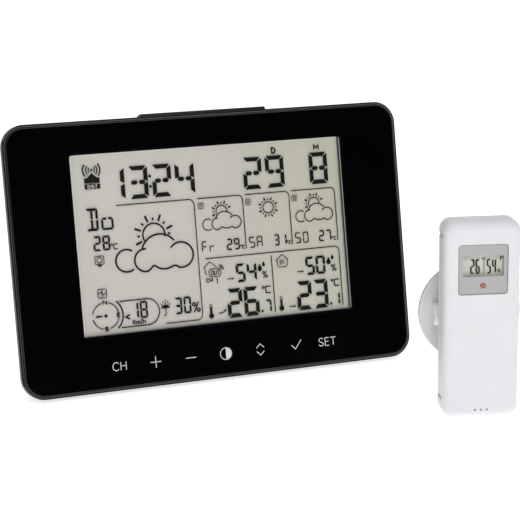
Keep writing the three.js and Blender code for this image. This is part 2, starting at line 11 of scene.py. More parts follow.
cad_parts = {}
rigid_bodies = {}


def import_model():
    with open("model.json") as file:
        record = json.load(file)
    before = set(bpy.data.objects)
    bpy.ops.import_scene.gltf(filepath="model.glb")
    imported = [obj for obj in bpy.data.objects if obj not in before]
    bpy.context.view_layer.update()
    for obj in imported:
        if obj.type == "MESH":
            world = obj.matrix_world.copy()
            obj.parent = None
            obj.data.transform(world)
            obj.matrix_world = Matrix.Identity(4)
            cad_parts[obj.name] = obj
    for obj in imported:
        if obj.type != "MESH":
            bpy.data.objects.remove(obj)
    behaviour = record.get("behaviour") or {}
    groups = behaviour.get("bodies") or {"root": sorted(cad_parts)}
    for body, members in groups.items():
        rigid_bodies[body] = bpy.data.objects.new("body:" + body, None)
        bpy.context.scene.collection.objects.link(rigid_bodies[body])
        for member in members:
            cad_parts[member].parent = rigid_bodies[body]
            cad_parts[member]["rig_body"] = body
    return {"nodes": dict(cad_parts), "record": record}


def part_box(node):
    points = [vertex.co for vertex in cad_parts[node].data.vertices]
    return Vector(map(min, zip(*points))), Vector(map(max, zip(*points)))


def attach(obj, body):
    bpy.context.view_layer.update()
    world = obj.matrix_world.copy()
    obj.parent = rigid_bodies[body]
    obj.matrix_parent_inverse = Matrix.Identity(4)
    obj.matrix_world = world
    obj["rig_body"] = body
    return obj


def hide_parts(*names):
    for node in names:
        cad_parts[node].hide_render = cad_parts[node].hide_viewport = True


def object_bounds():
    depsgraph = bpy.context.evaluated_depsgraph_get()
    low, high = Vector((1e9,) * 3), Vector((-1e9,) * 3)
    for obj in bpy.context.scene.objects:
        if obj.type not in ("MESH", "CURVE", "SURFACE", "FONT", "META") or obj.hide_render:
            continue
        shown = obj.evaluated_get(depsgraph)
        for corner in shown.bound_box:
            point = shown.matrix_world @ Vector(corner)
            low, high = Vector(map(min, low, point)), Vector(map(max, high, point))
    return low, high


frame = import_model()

CAD_LO, CAD_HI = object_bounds()
NODES = frame["nodes"]
DEG = math.pi / 180
pi, sin, cos, sqrt = math.pi, math.sin, math.cos, math.sqrt

# ------------------------------------------------------------ unit frames
LEAN, LIFT = 10.44, 2.0
W, H, R = 214.0, 139.0, 11.5
LIP, LENS_T, FLANGE, FLANGE_T, FRAME_BACK = 1.3, 1.8, 2.1, 1.8, 6.5
BACK = 28.5
TW, TH, TR, TD, T_SPLIT, T_WALL = 37.0, 97.2, 5.5, 18.0, 11.55, 1.6
T_YAW = -15.0
PIVOT_Y, PIVOT_Z = 24.0, 46.3

_lo, _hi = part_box("front_frame")
GX = (_lo.x + _hi.x) / 2 * 1000
_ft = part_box("foot_left")[0]
_fz = (8.5 * sin(LEAN * DEG) - LIFT) / cos(LEAN * DEG)
GY = _ft.y * 1000 - (8.5 * cos(LEAN * DEG) + _fz * sin(LEAN * DEG))
GZ = LIFT
MC = Matrix.Translation((GX / 1000, GY / 1000, GZ / 1000)) @ Matrix.Rotation(-LEAN * DEG, 4, "X")
MT = Matrix.Translation(((GX + 95.3) / 1000, (GY - 102.7) / 1000, 0.0)) @ Matrix.Rotation(T_YAW * DEG, 4, "Z")
UNIT = {"c": MC, "t": MT}

# ------------------------------------------------------------ camera
CAM_A, CAM_E, CAM_R, CAM_D = -19.472, 13.402, -0.998, 782.65
CAM_T = Vector((GX + 19.8, GY, 63.65)) / 1000
_a, _e, _r = CAM_A * DEG, CAM_E * DEG, CAM_R * DEG
_d = Vector((sin(_a) * cos(_e), -cos(_a) * cos(_e), sin(_e)))
CAM_POS = CAM_T + _d * (CAM_D / 1000)
_f = -_d
_right = _f.cross(Vector((0, 0, 1))).normalized()
_up = _right.cross(_f)
_r2 = _right * cos(_r) + _up * sin(_r)
_u2 = -_right * sin(_r) + _up * cos(_r)
cam_data = bpy.data.cameras.new("camera")
cam_data.sensor_width = 36
cam_data.lens = 104.19
cam_data.clip_start, cam_data.clip_end = 0.02, 20
cam = bpy.data.objects.new("camera", cam_data)
bpy.context.scene.collection.objects.link(cam)
cam.matrix_world = Matrix(((_r2.x, _u2.x, _d.x, CAM_POS.x), (_r2.y, _u2.y, _d.y, CAM_POS.y),
                           (_r2.z, _u2.z, _d.z, CAM_POS.z), (0, 0, 0, 1)))
bpy.context.scene.camera = cam
EYE = (MC.inverted() @ CAM_POS) * 1000        # the eye in console millimetres
EYE_T = (MT.inverted() @ CAM_POS) * 1000


# ------------------------------------------------------------ mesh kit
class Body:
    """Vertices and faces of one closed piece or a set of them, in millimetres."""

    def __init__(self):
        self.v, self.f, self.m = [], [], []

    def add(self, verts, faces, mat=0):
        k = len(self.v)
        self.v += [tuple(p) for p in verts]
        self.f += [tuple(i + k for i in f) for f in faces]
        self.m += [mat] * len(faces)
        return self

    def box(self, x0, x1, y0, y1, z0, z1, mat=0):
        return self.prism([(x0, z0), (x1, z0), (x1, z1), (x0, z1)], y0, y1, mat)

    def prism(self, poly, y0, y1, mat=0):
        """A polygon in x, z from y0 to y1."""
        n = len(poly)
        v = [(x, y0, z) for x, z in poly] + [(x, y1, z) for x, z in poly]
        f = [tuple(range(n)), tuple(range(2 * n - 1, n - 1, -1))]
        f += [(i, (i + 1) % n, n + (i + 1) % n, n + i)[::-1] for i in range(n)]
        return self.add(v, f, mat)

    def prism_x(self, poly, x0, x1, mat=0):
        """A polygon in y, z from x0 to x1."""
        n = len(poly)
        v = [(x0, y, z) for y, z in poly] + [(x1, y, z) for y, z in poly]
        f = [tuple(range(n)), tuple(range(2 * n - 1, n - 1, -1))]
        f += [(i, (i + 1) % n, n + (i + 1) % n, n + i)[::-1] for i in range(n)]
        return self.add(v, f, mat)

    def rings(self, rings, cap=True, loop=False, mat=0):
        """A skin through rings of 3-D points with the same count."""
        n = len(rings[0])
        v = [p for r in rings for p in r]
        f = []
        m = len(rings)
        for k in range(m if loop else m - 1):
            a, b = k * n, ((k + 1) % m) * n
            for i in range(n):
                j = (i + 1) % n
                f.append((a + i, a + j, b + j, b + i))
        if cap and not loop:
            f.append(tuple(range(n))[::-1])
            f.append(tuple(range((m - 1) * n, m * n)))
        return self.add(v, f, mat)

    def lathe(self, profile, axis, centre, seg=48, mat=0, a0=0.0):
        """A profile of (radius, along) turned about an axis through centre; radius 0 closes an end."""
        rings = []
        for r, t in profile:
            ring = []
            for i in range(seg):
                a = a0 + 2 * pi * i / seg
                c, s = r * cos(a), r * sin(a)
                if axis == "y":
                    p = (centre[0] + c, t, centre[1] + s)
                elif axis == "x":
                    p = (t, centre[0] + c, centre[1] + s)
                else:
                    p = (centre[0] + c, centre[1] + s, t)
                ring.append(p)
            rings.append(ring)
        return self.rings(rings, mat=mat)

    def strip(self, line, width, y0, y1, closed=False, mat=0):
        """A stroke of a given width along points in x, z, as a thin closed solid."""
        pts = []
        for p in line:
            if not pts or abs(p[0] - pts[-1][0]) + abs(p[1] - pts[-1][1]) > 1e-6:
                pts.append(p)
        if closed and abs(pts[0][0] - pts[-1][0]) + abs(pts[0][1] - pts[-1][1]) < 1e-6:
            pts.pop()
        n = len(pts)
        left, right = [], []
        for i in range(n):
            if closed:
                a, b, c = pts[i - 1], pts[i], pts[(i + 1) % n]
            else:
                a, b, c = pts[max(i - 1, 0)], pts[i], pts[min(i + 1, n - 1)]
            d1 = Vector((b[0] - a[0], b[1] - a[1]))
            d2 = Vector((c[0] - b[0], c[1] - b[1]))
            if d1.length < 1e-9:
                d1 = d2
            if d2.length < 1e-9:
                d2 = d1
            d1.normalize(), d2.normalize()
            n1, n2 = Vector((-d1.y, d1.x)), Vector((-d2.y, d2.x))
            m = n1 + n2
            if m.length < 1e-6:
                m = n1.copy()
            m.normalize()
            k = min(1 / max(m.dot(n1), 0.35), 2.2) * width / 2
            left.append((b[0] + m.x * k, b[1] + m.y * k))
            right.append((b[0] - m.x * k, b[1] - m.y * k))
        v = []
        for i in range(n):
            for (x, z) in (left[i], right[i]):
                v += [(x, y0, z), (x, y1, z)]
        f = []
        last = n if closed else n - 1
        for i in range(last):
            a, b = 4 * i, 4 * ((i + 1) % n)
            f += [(a, b, b + 2, a + 2), (a + 1, a + 3, b + 3, b + 1), (a, a + 1, b + 1, b), (a + 2, b + 2, b + 3, a + 3)]
        if not closed:
            e = 4 * (n - 1)
            f += [(0, 2, 3, 1), (e, e + 1, e + 3, e + 2)]
        return self.add(v, f, mat)

    def disc(self, cx, cz, r, y0, y1, seg=28, mat=0):
        return self.prism([(cx + r * cos(2 * pi * i / seg), cz + r * sin(2 * pi * i / seg)) for i in range(seg)], y0, y1, mat)


def arc(cx, cz, r, a0, a1, n=24, rz=None):
    """Points on an arc; angles in degrees, 0 to the right and 90 up."""
    rz = r if rz is None else rz
    return [(cx + r * cos((a0 + (a1 - a0) * i / n) * DEG), cz + rz * sin((a0 + (a1 - a0) * i / n) * DEG)) for i in range(n + 1)]


def outline(w, h, r, cx=0.0, cz=0.0, n=14):
    pts = []
    for sx, sz, a0 in ((1, -1, -90), (1, 1, 0), (-1, 1, 90), (-1, -1, 180)):
        for i in range(n + 1):
            a = (a0 + 90 * i / n) * DEG
            pts.append((cx + sx * (w / 2 - r) + r * cos(a), cz + sz * (h / 2 - r) + r * sin(a)))
    return pts


def at_y(pts, y):
    return [(x, y, z) for x, z in pts]


def smooth_profile(pts, sub=4):
    """A centripetal curve through (y, inset) points."""
    out = []
    for i in range(len(pts) - 1):
        p0, p1, p2, p3 = pts[max(i - 1, 0)], pts[i], pts[i + 1], pts[min(i + 2, len(pts) - 1)]
        for k in range(sub):
            t = k / sub
            q = []
            for a, b, c, d in zip(p0, p1, p2, p3):
                q.append(0.5 * (2 * b + (c - a) * t + (2 * a - 5 * b + 4 * c - d) * t * t + (3 * b - a - 3 * c + d) * t ** 3))
            out.append(tuple(q))
    out.append(tuple(pts[-1]))
    return out


def shell(w, h, r, cz, steps, r_min=2.0, fall=1.0, n=14):
    return Body().rings([at_y(outline(w - 2 * d, h - 2 * d, max(r - fall * d, r_min), 0, cz, n), y) for y, d in steps])


SCRATCH = []


def raw(body, name="scratch", merge=1e-5):
    me = bpy.data.meshes.new(name)
    me.from_pydata([(x / 1000, y / 1000, z / 1000) for x, y, z in body.v], [], body.f)
    for p, m in zip(me.polygons, body.m):
        p.material_index = m
    bm = bmesh.new()
    bm.from_mesh(me)
    if merge:
        bmesh.ops.remove_doubles(bm, verts=bm.verts, dist=merge / 10)
        bmesh.ops.dissolve_degenerate(bm, dist=1e-8, edges=bm.edges)
    bmesh.ops.recalc_face_normals(bm, faces=bm.faces)
    bm.to_mesh(me)
    bm.free()
    o = bpy.data.objects.new(name, me)
    bpy.context.scene.collection.objects.link(o)
    return o


def csg(target, cut=(), join=(), solver="EXACT"):
    """Booleans between Bodies; gives back an object whose mesh is the result."""
    o = target if isinstance(target, bpy.types.Object) else raw(target)
    tools = []
    for op, many in (("UNION", join), ("DIFFERENCE", cut)):
        for b in many:
            t = raw(b, "tool")
            tools.append(t)
            m = o.modifiers.new("b", "BOOLEAN")
            m.operation, m.object, m.solver = op, t, solver
    bpy.context.view_layer.update()
    dg = bpy.context.evaluated_depsgraph_get()
    me = bpy.data.meshes.new_from_object(o.evaluated_get(dg))
    o.modifiers.clear()
    o.data = me
    for t in tools:
        bpy.data.objects.remove(t)
    return o


def finish_mesh(o, angle=32):
    me = o.data
    for p in me.polygons:
        p.use_smooth = True
    me.set_sharp_from_angle(angle=angle * DEG)


def place(o, name, unit, body, mats, replaces=(), bevel=0.0, seg=2, angle=32, bevel_angle=30):
    """Names, finishes and places a piece, and lets it ride on its CAD body."""
    if isinstance(o, Body):
        o = raw(o)
    o.name = name
    o.data.name = name
    mats = mats if isinstance(mats, (list, tuple)) else [mats]
    picked = [p.material_index for p in o.data.polygons]
    o.data.materials.clear()
    for m in mats:
        o.data.materials.append(m)
    for p, i in zip(o.data.polygons, picked):
        p.material_index = min(i, len(mats) - 1)
    if bevel:
        m = o.modifiers.new("edge", "BEVEL")
        m.width, m.segments, m.limit_method, m.angle_limit = bevel / 1000, seg, "ANGLE", bevel_angle * DEG
        m.use_clamp_overlap = True
        m.miter_outer = "MITER_ARC"
        bpy.context.view_layer.update()
        dg = bpy.context.evaluated_depsgraph_get()
        me = bpy.data.meshes.new_from_object(o.evaluated_get(dg))
        o.modifiers.clear()
        o.data = me
        me.name = name
    finish_mesh(o, angle)
    if bevel:
        w = o.modifiers.new("normals", "WEIGHTED_NORMAL")
        w.keep_sharp, w.weight = True, 90
    o.matrix_world = UNIT[unit]
    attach(o, body)
    if replaces:
        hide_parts(*([replaces] if isinstance(replaces, str) else replaces))
    return o


# ------------------------------------------------------------ materials
def lin(c):
    """sRGB 0..255 to linear."""
    out = []
    for v in c:
        v = v / 255
        out.append(v / 12.92 if v <= 0.04045 else ((v + 0.055) / 1.055) ** 2.4)
    return (*out, 1.0)


class Nodes:
    def __init__(self, name):
        self.mat = bpy.data.materials.new(name)
        self.mat.use_nodes = True
        self.t = self.mat.node_tree
        self.t.nodes.clear()
        self.out = self.t.nodes.new("ShaderNodeOutputMaterial")
        self.p = self.t.nodes.new("ShaderNodeBsdfPrincipled")
        self.t.links.new(self.p.outputs[0], self.out.inputs["Surface"])
        self.co = self.t.nodes.new("ShaderNodeTexCoord").outputs["Object"]

    def new(self, kind, inputs=None, **props):
        n = self.t.nodes.new("ShaderNode" + kind)
        for k, v in props.items():
            setattr(n, k, v)
        for k, v in (inputs or {}).items():
            if isinstance(v, bpy.types.NodeSocket):
                self.t.links.new(v, n.inputs[k])
            else:
                n.inputs[k].default_value = v
        return n

    def noise(self, scale, detail=3.0, rough=0.55, vec=None):
        return self.new("TexNoise", {"Vector": vec or self.co, "Scale": scale, "Detail": detail, "Roughness": rough}).outputs["Fac"]

    def stretch(self, sx, sy, sz):
        return self.new("Mapping", {"Vector": self.co, "Scale": (sx, sy, sz)}).outputs[0]

    def remap(self, sock, a, b, c, d):
        return self.new("MapRange", {"Value": sock, "From Min": a, "From Max": b, "To Min": c, "To Max": d}).outputs[0]

    def mix(self, fac, a, b):
        n = self.new("Mix", data_type="RGBA")
        for i, v in ((0, fac), (6, a), (7, b)):
            if isinstance(v, bpy.types.NodeSocket):
                self.t.links.new(v, n.inputs[i])
            else:
                n.inputs[i].default_value = v
        return n.outputs[2]

    def math(self, op, a, b=0.0):
        n = self.new("Math", operation=op)
        for i, v in ((0, a), (1, b)):
            if isinstance(v, bpy.types.NodeSocket):
                self.t.links.new(v, n.inputs[i])
            else:
                n.inputs[i].default_value = v
        return n.outputs[0]

    def axis(self, i):
        return self.new("SeparateXYZ", {0: self.co}).outputs[i]

    def set(self, name, v):
        if isinstance(v, bpy.types.NodeSocket):
            self.t.links.new(v, self.p.inputs[name])
        else:
            self.p.inputs[name].default_value = v
        return self

    def bump(self, height, strength, dist):
        b = self.new("Bump", {"Height": height, "Strength": strength, "Distance": dist})
        self.t.links.new(b.outputs[0], self.p.inputs["Normal"])
        return b


def plastic(name, a, b, rough=0.5, spread=0.07, grain=1800, strength=0.25, dist=0.00004, spec=0.5, tone=60, metal=0.0, coat=0.0):
    """Moulded plastic: slight tone drift, fine mould grain in bump and roughness."""
    m = Nodes(name)
    drift = m.noise(tone, 4.0)
    fine = m.noise(grain, 2.0)
    m.set("Base Color", m.mix(m.remap(drift, 0.3, 0.7, 0.0, 1.0), a, b))
    m.set("Roughness", m.remap(fine, 0.25, 0.75, max(rough - spread, 0.02), rough + spread))
    m.set("Specular IOR Level", spec)
    m.set("Metallic", metal)
    if coat:
        m.set("Coat Weight", coat)
        m.set("Coat Roughness", 0.12)
    m.bump(fine, strength, dist)
    return m.mat


def metal(name, a, b, rough=0.3, along=(1, 1, 1), scale=900):
    m = Nodes(name)
    g = m.noise(scale, 3.0, vec=m.stretch(*along))
    m.set("Base Color", m.mix(m.remap(g, 0.3, 0.7, 0, 1), a, b))
    m.set("Metallic", 1.0)
    m.set("Roughness", m.remap(g, 0.2, 0.8, rough - 0.08, rough + 0.1))
    m.bump(g, 0.15, 0.00003)
    return m.mat


M = {}
M["frame"] = plastic("frame_black", lin((9, 9, 10)), lin((13, 13, 14)), 0.42, 0.06, 2600, 0.18, spec=0.13)
# a lighter copy of the frame black: painted highlight along the lip's inner chamfer
M["edge"] = plastic("frame_edge_painted_highlight", lin((92, 92, 96)), lin((102, 102, 106)), 0.34, 0.05, 3000, 0.1, spec=0.5)
M["housing"] = plastic("housing_black", lin((30, 30, 32)), lin((36, 36, 38)), 0.6, 0.08, 1500, 0.6, 0.00006, spec=0.4)
M["door"] = plastic("door_black", lin((29, 29, 31)), lin((35, 35, 37)), 0.58, 0.08, 1500, 0.6, 0.00006, spec=0.4)
M["bar"] = plastic("bar_charcoal", lin((17, 17, 19)), lin((23, 23, 25)), 0.5, 0.06, 2200, 0.25, spec=0.25)
M["rubber"] = plastic("rubber_black", lin((22, 22, 22)), lin((30, 30, 29)), 0.86, 0.06, 1300, 0.7, 0.00008, spec=0.25)
M["white"] = plastic("transmitter_white", lin((227, 225, 228)), lin((231, 229, 232)), 0.44, 0.05, 2400, 0.14, 0.00003, spec=0.4)
M["grey"] = plastic("display_grey", lin((175, 173, 173)), lin((180, 178, 178)), 0.4, 0.05, 2400, 0.14, 0.00003, spec=0.4)
M["holder"] = plastic("holder_white", lin((228, 228, 224)), lin((234, 234, 230)), 0.5, 0.06, 1800, 0.2)
M["dark"] = plastic("component_dark", lin((28, 29, 31)), lin((36, 37, 40)), 0.5, 0.08, 1600, 0.3)
M["flex"] = plastic("flex_amber", lin((196, 124, 44)), lin((176, 106, 34)), 0.35, 0.06, 700, 0.15)
M["ferrite"] = plastic("ferrite", lin((44, 44, 48)), lin((58, 58, 61)), 0.72, 0.1, 1300, 0.5, 0.00008)
M["sensor"] = plastic("sensor_white", lin((238, 239, 240)), lin((228, 229, 231)), 0.5, 0.06, 1800, 0.2)
M["steel"] = metal("steel", (0.60, 0.60, 0.61, 1), (0.70, 0.70, 0.70, 1), 0.3)
M["spring"] = metal("spring_steel", (0.66, 0.65, 0.62, 1), (0.76, 0.75, 0.72, 1), 0.26)
M["diffuser"] = plastic("diffuser", lin((222, 222, 212)), lin((230, 230, 221)), 0.4, 0.05, 1500, 0.12)


def m_lens():
    m = Nodes("lens_black")
    n = m.noise(40, 2.0)
    m.set("Base Color", m.mix(n, lin((1, 1, 2)), lin((4, 4, 5))))
    m.set("Roughness", m.remap(m.noise(25, 3.0), 0.3, 0.7, 0.05, 0.09))
    m.set("Specular IOR Level", 0.3)
    m.set("Coat Weight", 0.12)
    m.set("Coat Roughness", 0.03)
    m.bump(m.noise(18, 1.0), 0.05, 0.0001)
    return m.mat


def m_window(name="window_clear", alpha=0.03):
    m = Nodes(name)
    m.set("Base Color", m.mix(m.noise(30, 2.0), lin((50, 54, 52)), lin((62, 66, 64))))
    m.set("Roughness", m.remap(m.noise(60, 2.0), 0.3, 0.7, 0.04, 0.08))
    m.set("Specular IOR Level", 0.5)
    m.set("Alpha", alpha)
    return m.mat


def m_lcd(name, left, right, warm, x0, x1, grain=0.05):
    """Reflective display ground: colour drifts across it, with a fine pearly grain."""
    m = Nodes(name)
    g = m.new("MapRange", {"Value": m.axis(0), "From Min": x0, "From Max": x1, "To Min": 0, "To Max": 1}, interpolation_type="SMOOTHSTEP").outputs[0]
    wob = m.remap(m.noise(11, 2.0), 0.3, 0.7, -0.18, 0.18)
    base = m.mix(m.math("ADD", g, wob), left, right)
    z = m.new("MapRange", {"Value": m.axis(2), "From Min": 0.028, "From Max": 0.122, "To Min": 0.0, "To Max": 0.35}).outputs[0]
    base = m.mix(m.math("MULTIPLY", z, g), base, warm)
    fine = m.noise(5200, 2.0)
    m.set("Base Color", m.mix(m.remap(fine, 0.3, 0.7, 0, grain), base, lin((150, 150, 138))))
    m.set("Roughness", m.remap(fine, 0.2, 0.8, 0.42, 0.56))
    m.set("Specular IOR Level", 0.25)
    m.bump(fine, 0.08, 0.00001)
    return m.mat


def m_ink(name, a, b, rough=0.45, alpha=None):
    m = Nodes(name)
    m.set("Base Color", m.mix(m.noise(500, 2.0), lin(a), lin(b)))
    m.set("Roughness", m.remap(m.noise(900, 2.0), 0.3, 0.7, rough - 0.05, rough + 0.05))
    m.set("Specular IOR Level", 0.2)
    if alpha:
        m.set("Alpha", alpha)
    return m.mat


def m_board():
    m = Nodes("board_green")
    mask = m.noise(70, 2.0)
    tracks = m.new("TexBrick", {"Vector": m.stretch(1, 1, 1), "Scale": 260.0, "Mortar Size": 0.03}, offset=0.37).outputs["Fac"]
    base = m.mix(m.remap(mask, 0.3, 0.7, 0, 1), lin((22, 92, 54)), lin((30, 108, 64)))
    m.set("Base Color", m.mix(m.math("MULTIPLY", tracks, 0.5), base, lin((60, 140, 84))))
    m.set("Roughness", m.remap(mask, 0.2, 0.8, 0.28, 0.4))
    m.bump(tracks, 0.2, 0.00005)
    return m.mat


def m_copper():
    m = Nodes("copper_wire")
    w = m.new("TexWave", {"Vector": m.co, "Scale": 900.0, "Distortion": 0.4}, wave_type="BANDS", bands_direction="X").outputs["Fac"]
    m.set("Base Color", m.mix(w, lin((120, 62, 30)), lin((205, 122, 72))))
    m.set("Metallic", 1.0)
    m.set("Roughness", m.remap(w, 0, 1, 0.28, 0.4))
    m.bump(w, 0.6, 0.0001)
    return m.mat


def m_cell(name, axis, lo, hi, flip):
    """Printed jacket: a light band at the positive end, a dark body, bare can ends."""
    m = Nodes(name)
    t = m.remap(m.axis(axis), lo, hi, 1.0 if flip else 0.0, 0.0 if flip else 1.0)
    band = m.math("GREATER_THAN", t, 0.74)
    body = m.mix(m.noise(160, 3.0), lin((38, 62, 96)), lin((44, 70, 106)))
    base = m.mix(band, body, lin((198, 201, 205)))
    ends = m.math("ADD", m.math("GREATER_THAN", t, 0.985), m.math("LESS_THAN", t, 0.015))
    m.set("Base Color", m.mix(ends, base, lin((178, 178, 176))))
    m.set("Metallic", m.math("MAXIMUM", ends, m.math("MULTIPLY", band, 0.4)))
    m.set("Roughness", m.remap(m.noise(900, 2.0), 0.3, 0.7, 0.24, 0.34))
    return m.mat


M["lens"] = m_lens()
M["window"] = m_window()
M["tx_window"] = m_window("tx_window_clear", 0.04)
M["lcd"] = m_lcd("display_ground", lin((212, 209, 200)), lin((207, 206, 190)), lin((205, 205, 180)), -0.02, 0.06)
M["tx_lcd"] = m_lcd("tx_display_ground", lin((228, 227, 216)), lin((225, 225, 212)), lin((223, 223, 208)), -0.012, 0.012)
M["seg"] = m_ink("segment_ink", (8, 7, 4), (13, 11, 8))
M["thin"] = m_ink("segment_thin", (30, 28, 22), (38, 36, 30))
M["faint"] = m_ink("segment_faint", (92, 90, 80), (104, 102, 92))
M["print"] = m_ink("key_print", (212, 212, 216), (220, 220, 223), 0.4)
M["board"] = m_board()
M["copper"] = m_copper()
# painted shade and painted highlights for strips at the display windows' edges
M["rim_painted_shade_dark"] = m_ink("rim_painted_shade_dark", (44, 42, 44), (56, 54, 56), 0.35)
M["rim_painted_shade_mid"] = m_ink("rim_painted_shade_mid", (138, 136, 130), (152, 150, 144), 0.4)
M["rim_painted_shade_pale"] = m_ink("rim_painted_shade_pale", (184, 182, 174), (192, 190, 182), 0.4)
M["rim_painted_highlight_bright"] = m_ink("rim_painted_highlight_bright", (222, 220, 213), (228, 226, 219), 0.4)
M["rim_painted_glint"] = m_ink("rim_painted_glint", (176, 173, 177), (188, 185, 189), 0.35)
M["led"] = plastic("led_red", lin((214, 82, 66)), lin((196, 62, 50)), 0.22, 0.04, 1200, 0.1, spec=0.6, coat=0.4)
M["aa_fwd"] = m_cell("aa_jacket_a", 0, 0.0306, 0.0806, False)
M["aa_rev"] = m_cell("aa_jacket_b", 0, 0.0306, 0.0806, True)
M["aaa_up"] = m_cell("aaa_jacket_a", 2, 0.0052, 0.0493, False)
M["aaa_dn"] = m_cell("aaa_jacket_b", 2, 0.0052, 0.0493, True)
# a darker copy of the transmitter white: painted shade on the wall disc, which the body shades
M["disc"] = plastic("bracket_white_painted_shade", lin((207, 205, 208)), lin((212, 210, 213)), 0.46, 0.05, 2400, 0.14, 0.00003, spec=0.4)
# a lighter, satin black: painted highlight along the lens sheet's outer chamfer
M["lens_edge_painted_highlight"] = plastic("lens_edge_painted_highlight", lin((34, 34, 36)), lin((40, 40, 42)), 0.3, 0.05, 3000, 0.1, spec=0.3)
M["mask"] = plastic("lens_mask", lin((1, 1, 1)), lin((2, 2, 2)), 0.8, 0.05, 2000, 0.05, spec=0.0)
# a lighter copy of the transmitter white: painted light on the lugs and the arm block
M["lug"] = plastic("bracket_lug_white_painted_light", lin((232, 230, 233)), lin((236, 234, 237)), 0.46, 0.05, 2400, 0.14, 0.00003, spec=0.4)


# ------------------------------------------------------------ console case
def box(x0, x1, y0, y1, z0, z1):
    return Body().box(x0, x1, y0, y1, z0, z1)


def cyl_y(x, z, r, a, b, seg=28, r2=None):
    return Body().lathe([(r, a), (r if r2 is None else r2, b)], "y", (x, z), seg)


def cyl_x(y, z, r, a, b, seg=32, r2=None):
    return Body().lathe([(r, a), (r if r2 is None else r2, b)], "x", (y, z), seg)


CZ = H / 2
SCREWS = [(sx * 88.5, z) for z in (20.5, 118.5) for sx in (-1, 1)]


def d_ring(y, d, n=14, r=R):
    return at_y(outline(W - 2 * d, H - 2 * d, max(r - d, 2.0), 0, CZ, n), y)


# front frame: rounded outer edge, flat lip, inner chamfer (a little glossier, and painted lighter as a highlight line),
# flange and skirt
win = outline(154.0, 99.6, 0.8, 0, 74.9)
frame_rings = [d_ring(0.88, LIP), d_ring(0.42, LIP - 0.5), d_ring(0.40, 0.62), d_ring(0.44, 0.36), d_ring(0.58, 0.14),
               d_ring(0.84, 0.02), d_ring(1.1, 0.0), d_ring(5.7, 0), d_ring(6.15, 0.2), d_ring(6.5, 0.7), d_ring(6.5, 2.0),
               d_ring(FLANGE + FLANGE_T, 2.0), at_y(win, FLANGE + FLANGE_T), at_y(win, FLANGE), d_ring(FLANGE, LIP)]
ff = Body()
ff.rings(frame_rings, loop=True)
frame_obj = csg(ff, join=[cyl_y(x, z, 3.4, 3.0, 9.3) for x, z in SCREWS],
                cut=[box(-75.3, 75.3, 1.5, 4.5, 5.9, 19.5), box(-34.4, 34.4, 2.05, 7.0, 136.0, 140.0),
                     box(-37.2, 37.2, 2.05, 4.5, 133.2, 137.05)] + [cyl_y(x, z, 1.25, 4.6, 10.0, 20) for x, z in SCREWS])
# the lip's inner chamfer takes the lighter material: a painted highlight line
for p in frame_obj.data.polygons:
    c, n = p.center * 1000, p.normal
    inset = min(W / 2 - abs(c.x), c.z, H - c.z)
    if c.y < 0.9 and n.y < -0.3 and n.y > -0.96 and abs(n.y) < 0.95 and inset > 0.75 and inset < 5:
        p.material_index = 1
place(frame_obj, "front_frame_shell", "c", "console", [M["frame"], M["edge"]], "front_frame")

# front lens: black printed sheet with a clear window let into the same plane
wz, ww, wh = 75.4, 147.2, 92.8


def l_ring(y, d):
    return at_y(outline(W - 2 * LIP - 0.6 - 2 * d, H - 2 * LIP - 0.6 - 2 * d, R - LIP - 0.3 - d, 0, CZ), y)


wo = outline(ww, wh, 1.3, 0, wz)
kb_ = LENS_T / -EYE.y
wb = [(x + (x - EYE.x) * kb_, z + (z - EYE.z) * kb_) for x, z in wo]      # the print's edge, on the sheet's back
wf = outline(ww + 2.6, wh + 2.6, 2.4, 0.3, wz - 0.1)
lens = Body()
# outer chamfer of the sheet in the lighter material: a painted highlight line
lens.rings([l_ring(0.0, 0.52), l_ring(0.46, 0.0)], cap=False, mat=1)
lens.rings([l_ring(0.46, 0.0), l_ring(LENS_T, 0.0), at_y(wb, LENS_T)], cap=False)
lens.rings([at_y(wb, LENS_T), at_y(wf, 0.0)], cap=False, mat=2)
lens.rings([at_y(wf, 0.0), l_ring(0.0, 0.52)], cap=False)
place(lens, "lens_printed", "c", "console", [M["lens"], M["lens_edge_painted_highlight"], M["mask"]], "front_lens", angle=20).visible_shadow = False


def inset(pts, d, cx, cz):
    return [(x - d * (1 if x > cx else -1), z - d * (1 if z > cz else -1)) for x, z in pts]


pane = Body().rings([at_y(inset(wf, 0.03, 0, wz), 0.0), at_y(inset(wb, 0.03, 0, wz), LENS_T - 0.02)])
place(pane, "lens_window", "c", "console", M["window"], "front_lens")

# rear housing: crowned shell with pockets, wells and slots
HOUSE = [(4.4, 2.4), (7.0, 2.4), (14, 4.0), (20, 6.2), (24.5, 9.0), (27.2, 12.5), (BACK, 16.5)]
HOUSE_IN = [(4.0, 4.4), (7.0, 4.4), (14, 6.1), (20, 8.4), (24.0, 11.2), (26.5, 15.5)]
BX0, BX1, BZ0, BZ1 = 28.0, 82.0, 19.6, 64.6
outer = lambda: shell(W, H, R, CZ, smooth_profile(HOUSE, 4), 5, 0.25, 12)
house = csg(outer(), cut=[shell(W, H, R, CZ, smooth_profile(HOUSE_IN, 2), 4, 0.35, 12)])
blocks = [box(BX0 - 3, BX1 + 3, 10.0, BACK + 1, BZ0 - 2.7, BZ1 + 2.7), box(-24, 24, 19.6, BACK + 1, 8, 26),
          box(-24, 24, 23.1, BACK + 1, 25.9, 67.4), box(-74, -71, 17.5, 27, 110, 122), box(-35, -32, 17.5, 27, 110, 122)]
blocks += [cyl_y(x, z, 4.7, 9.6, BACK + 1) for x, z in SCREWS]
for b in blocks:
    o = raw(b)
    t = raw(outer(), "tool")
    m = o.modifiers.new("b", "BOOLEAN")
    m.operation, m.object, m.solver = "INTERSECT", t, "EXACT"
    m = house.modifiers.new("b", "BOOLEAN")
    m.operation, m.object, m.solver = "UNION", o, "EXACT"
    SCRATCH += [o, t]
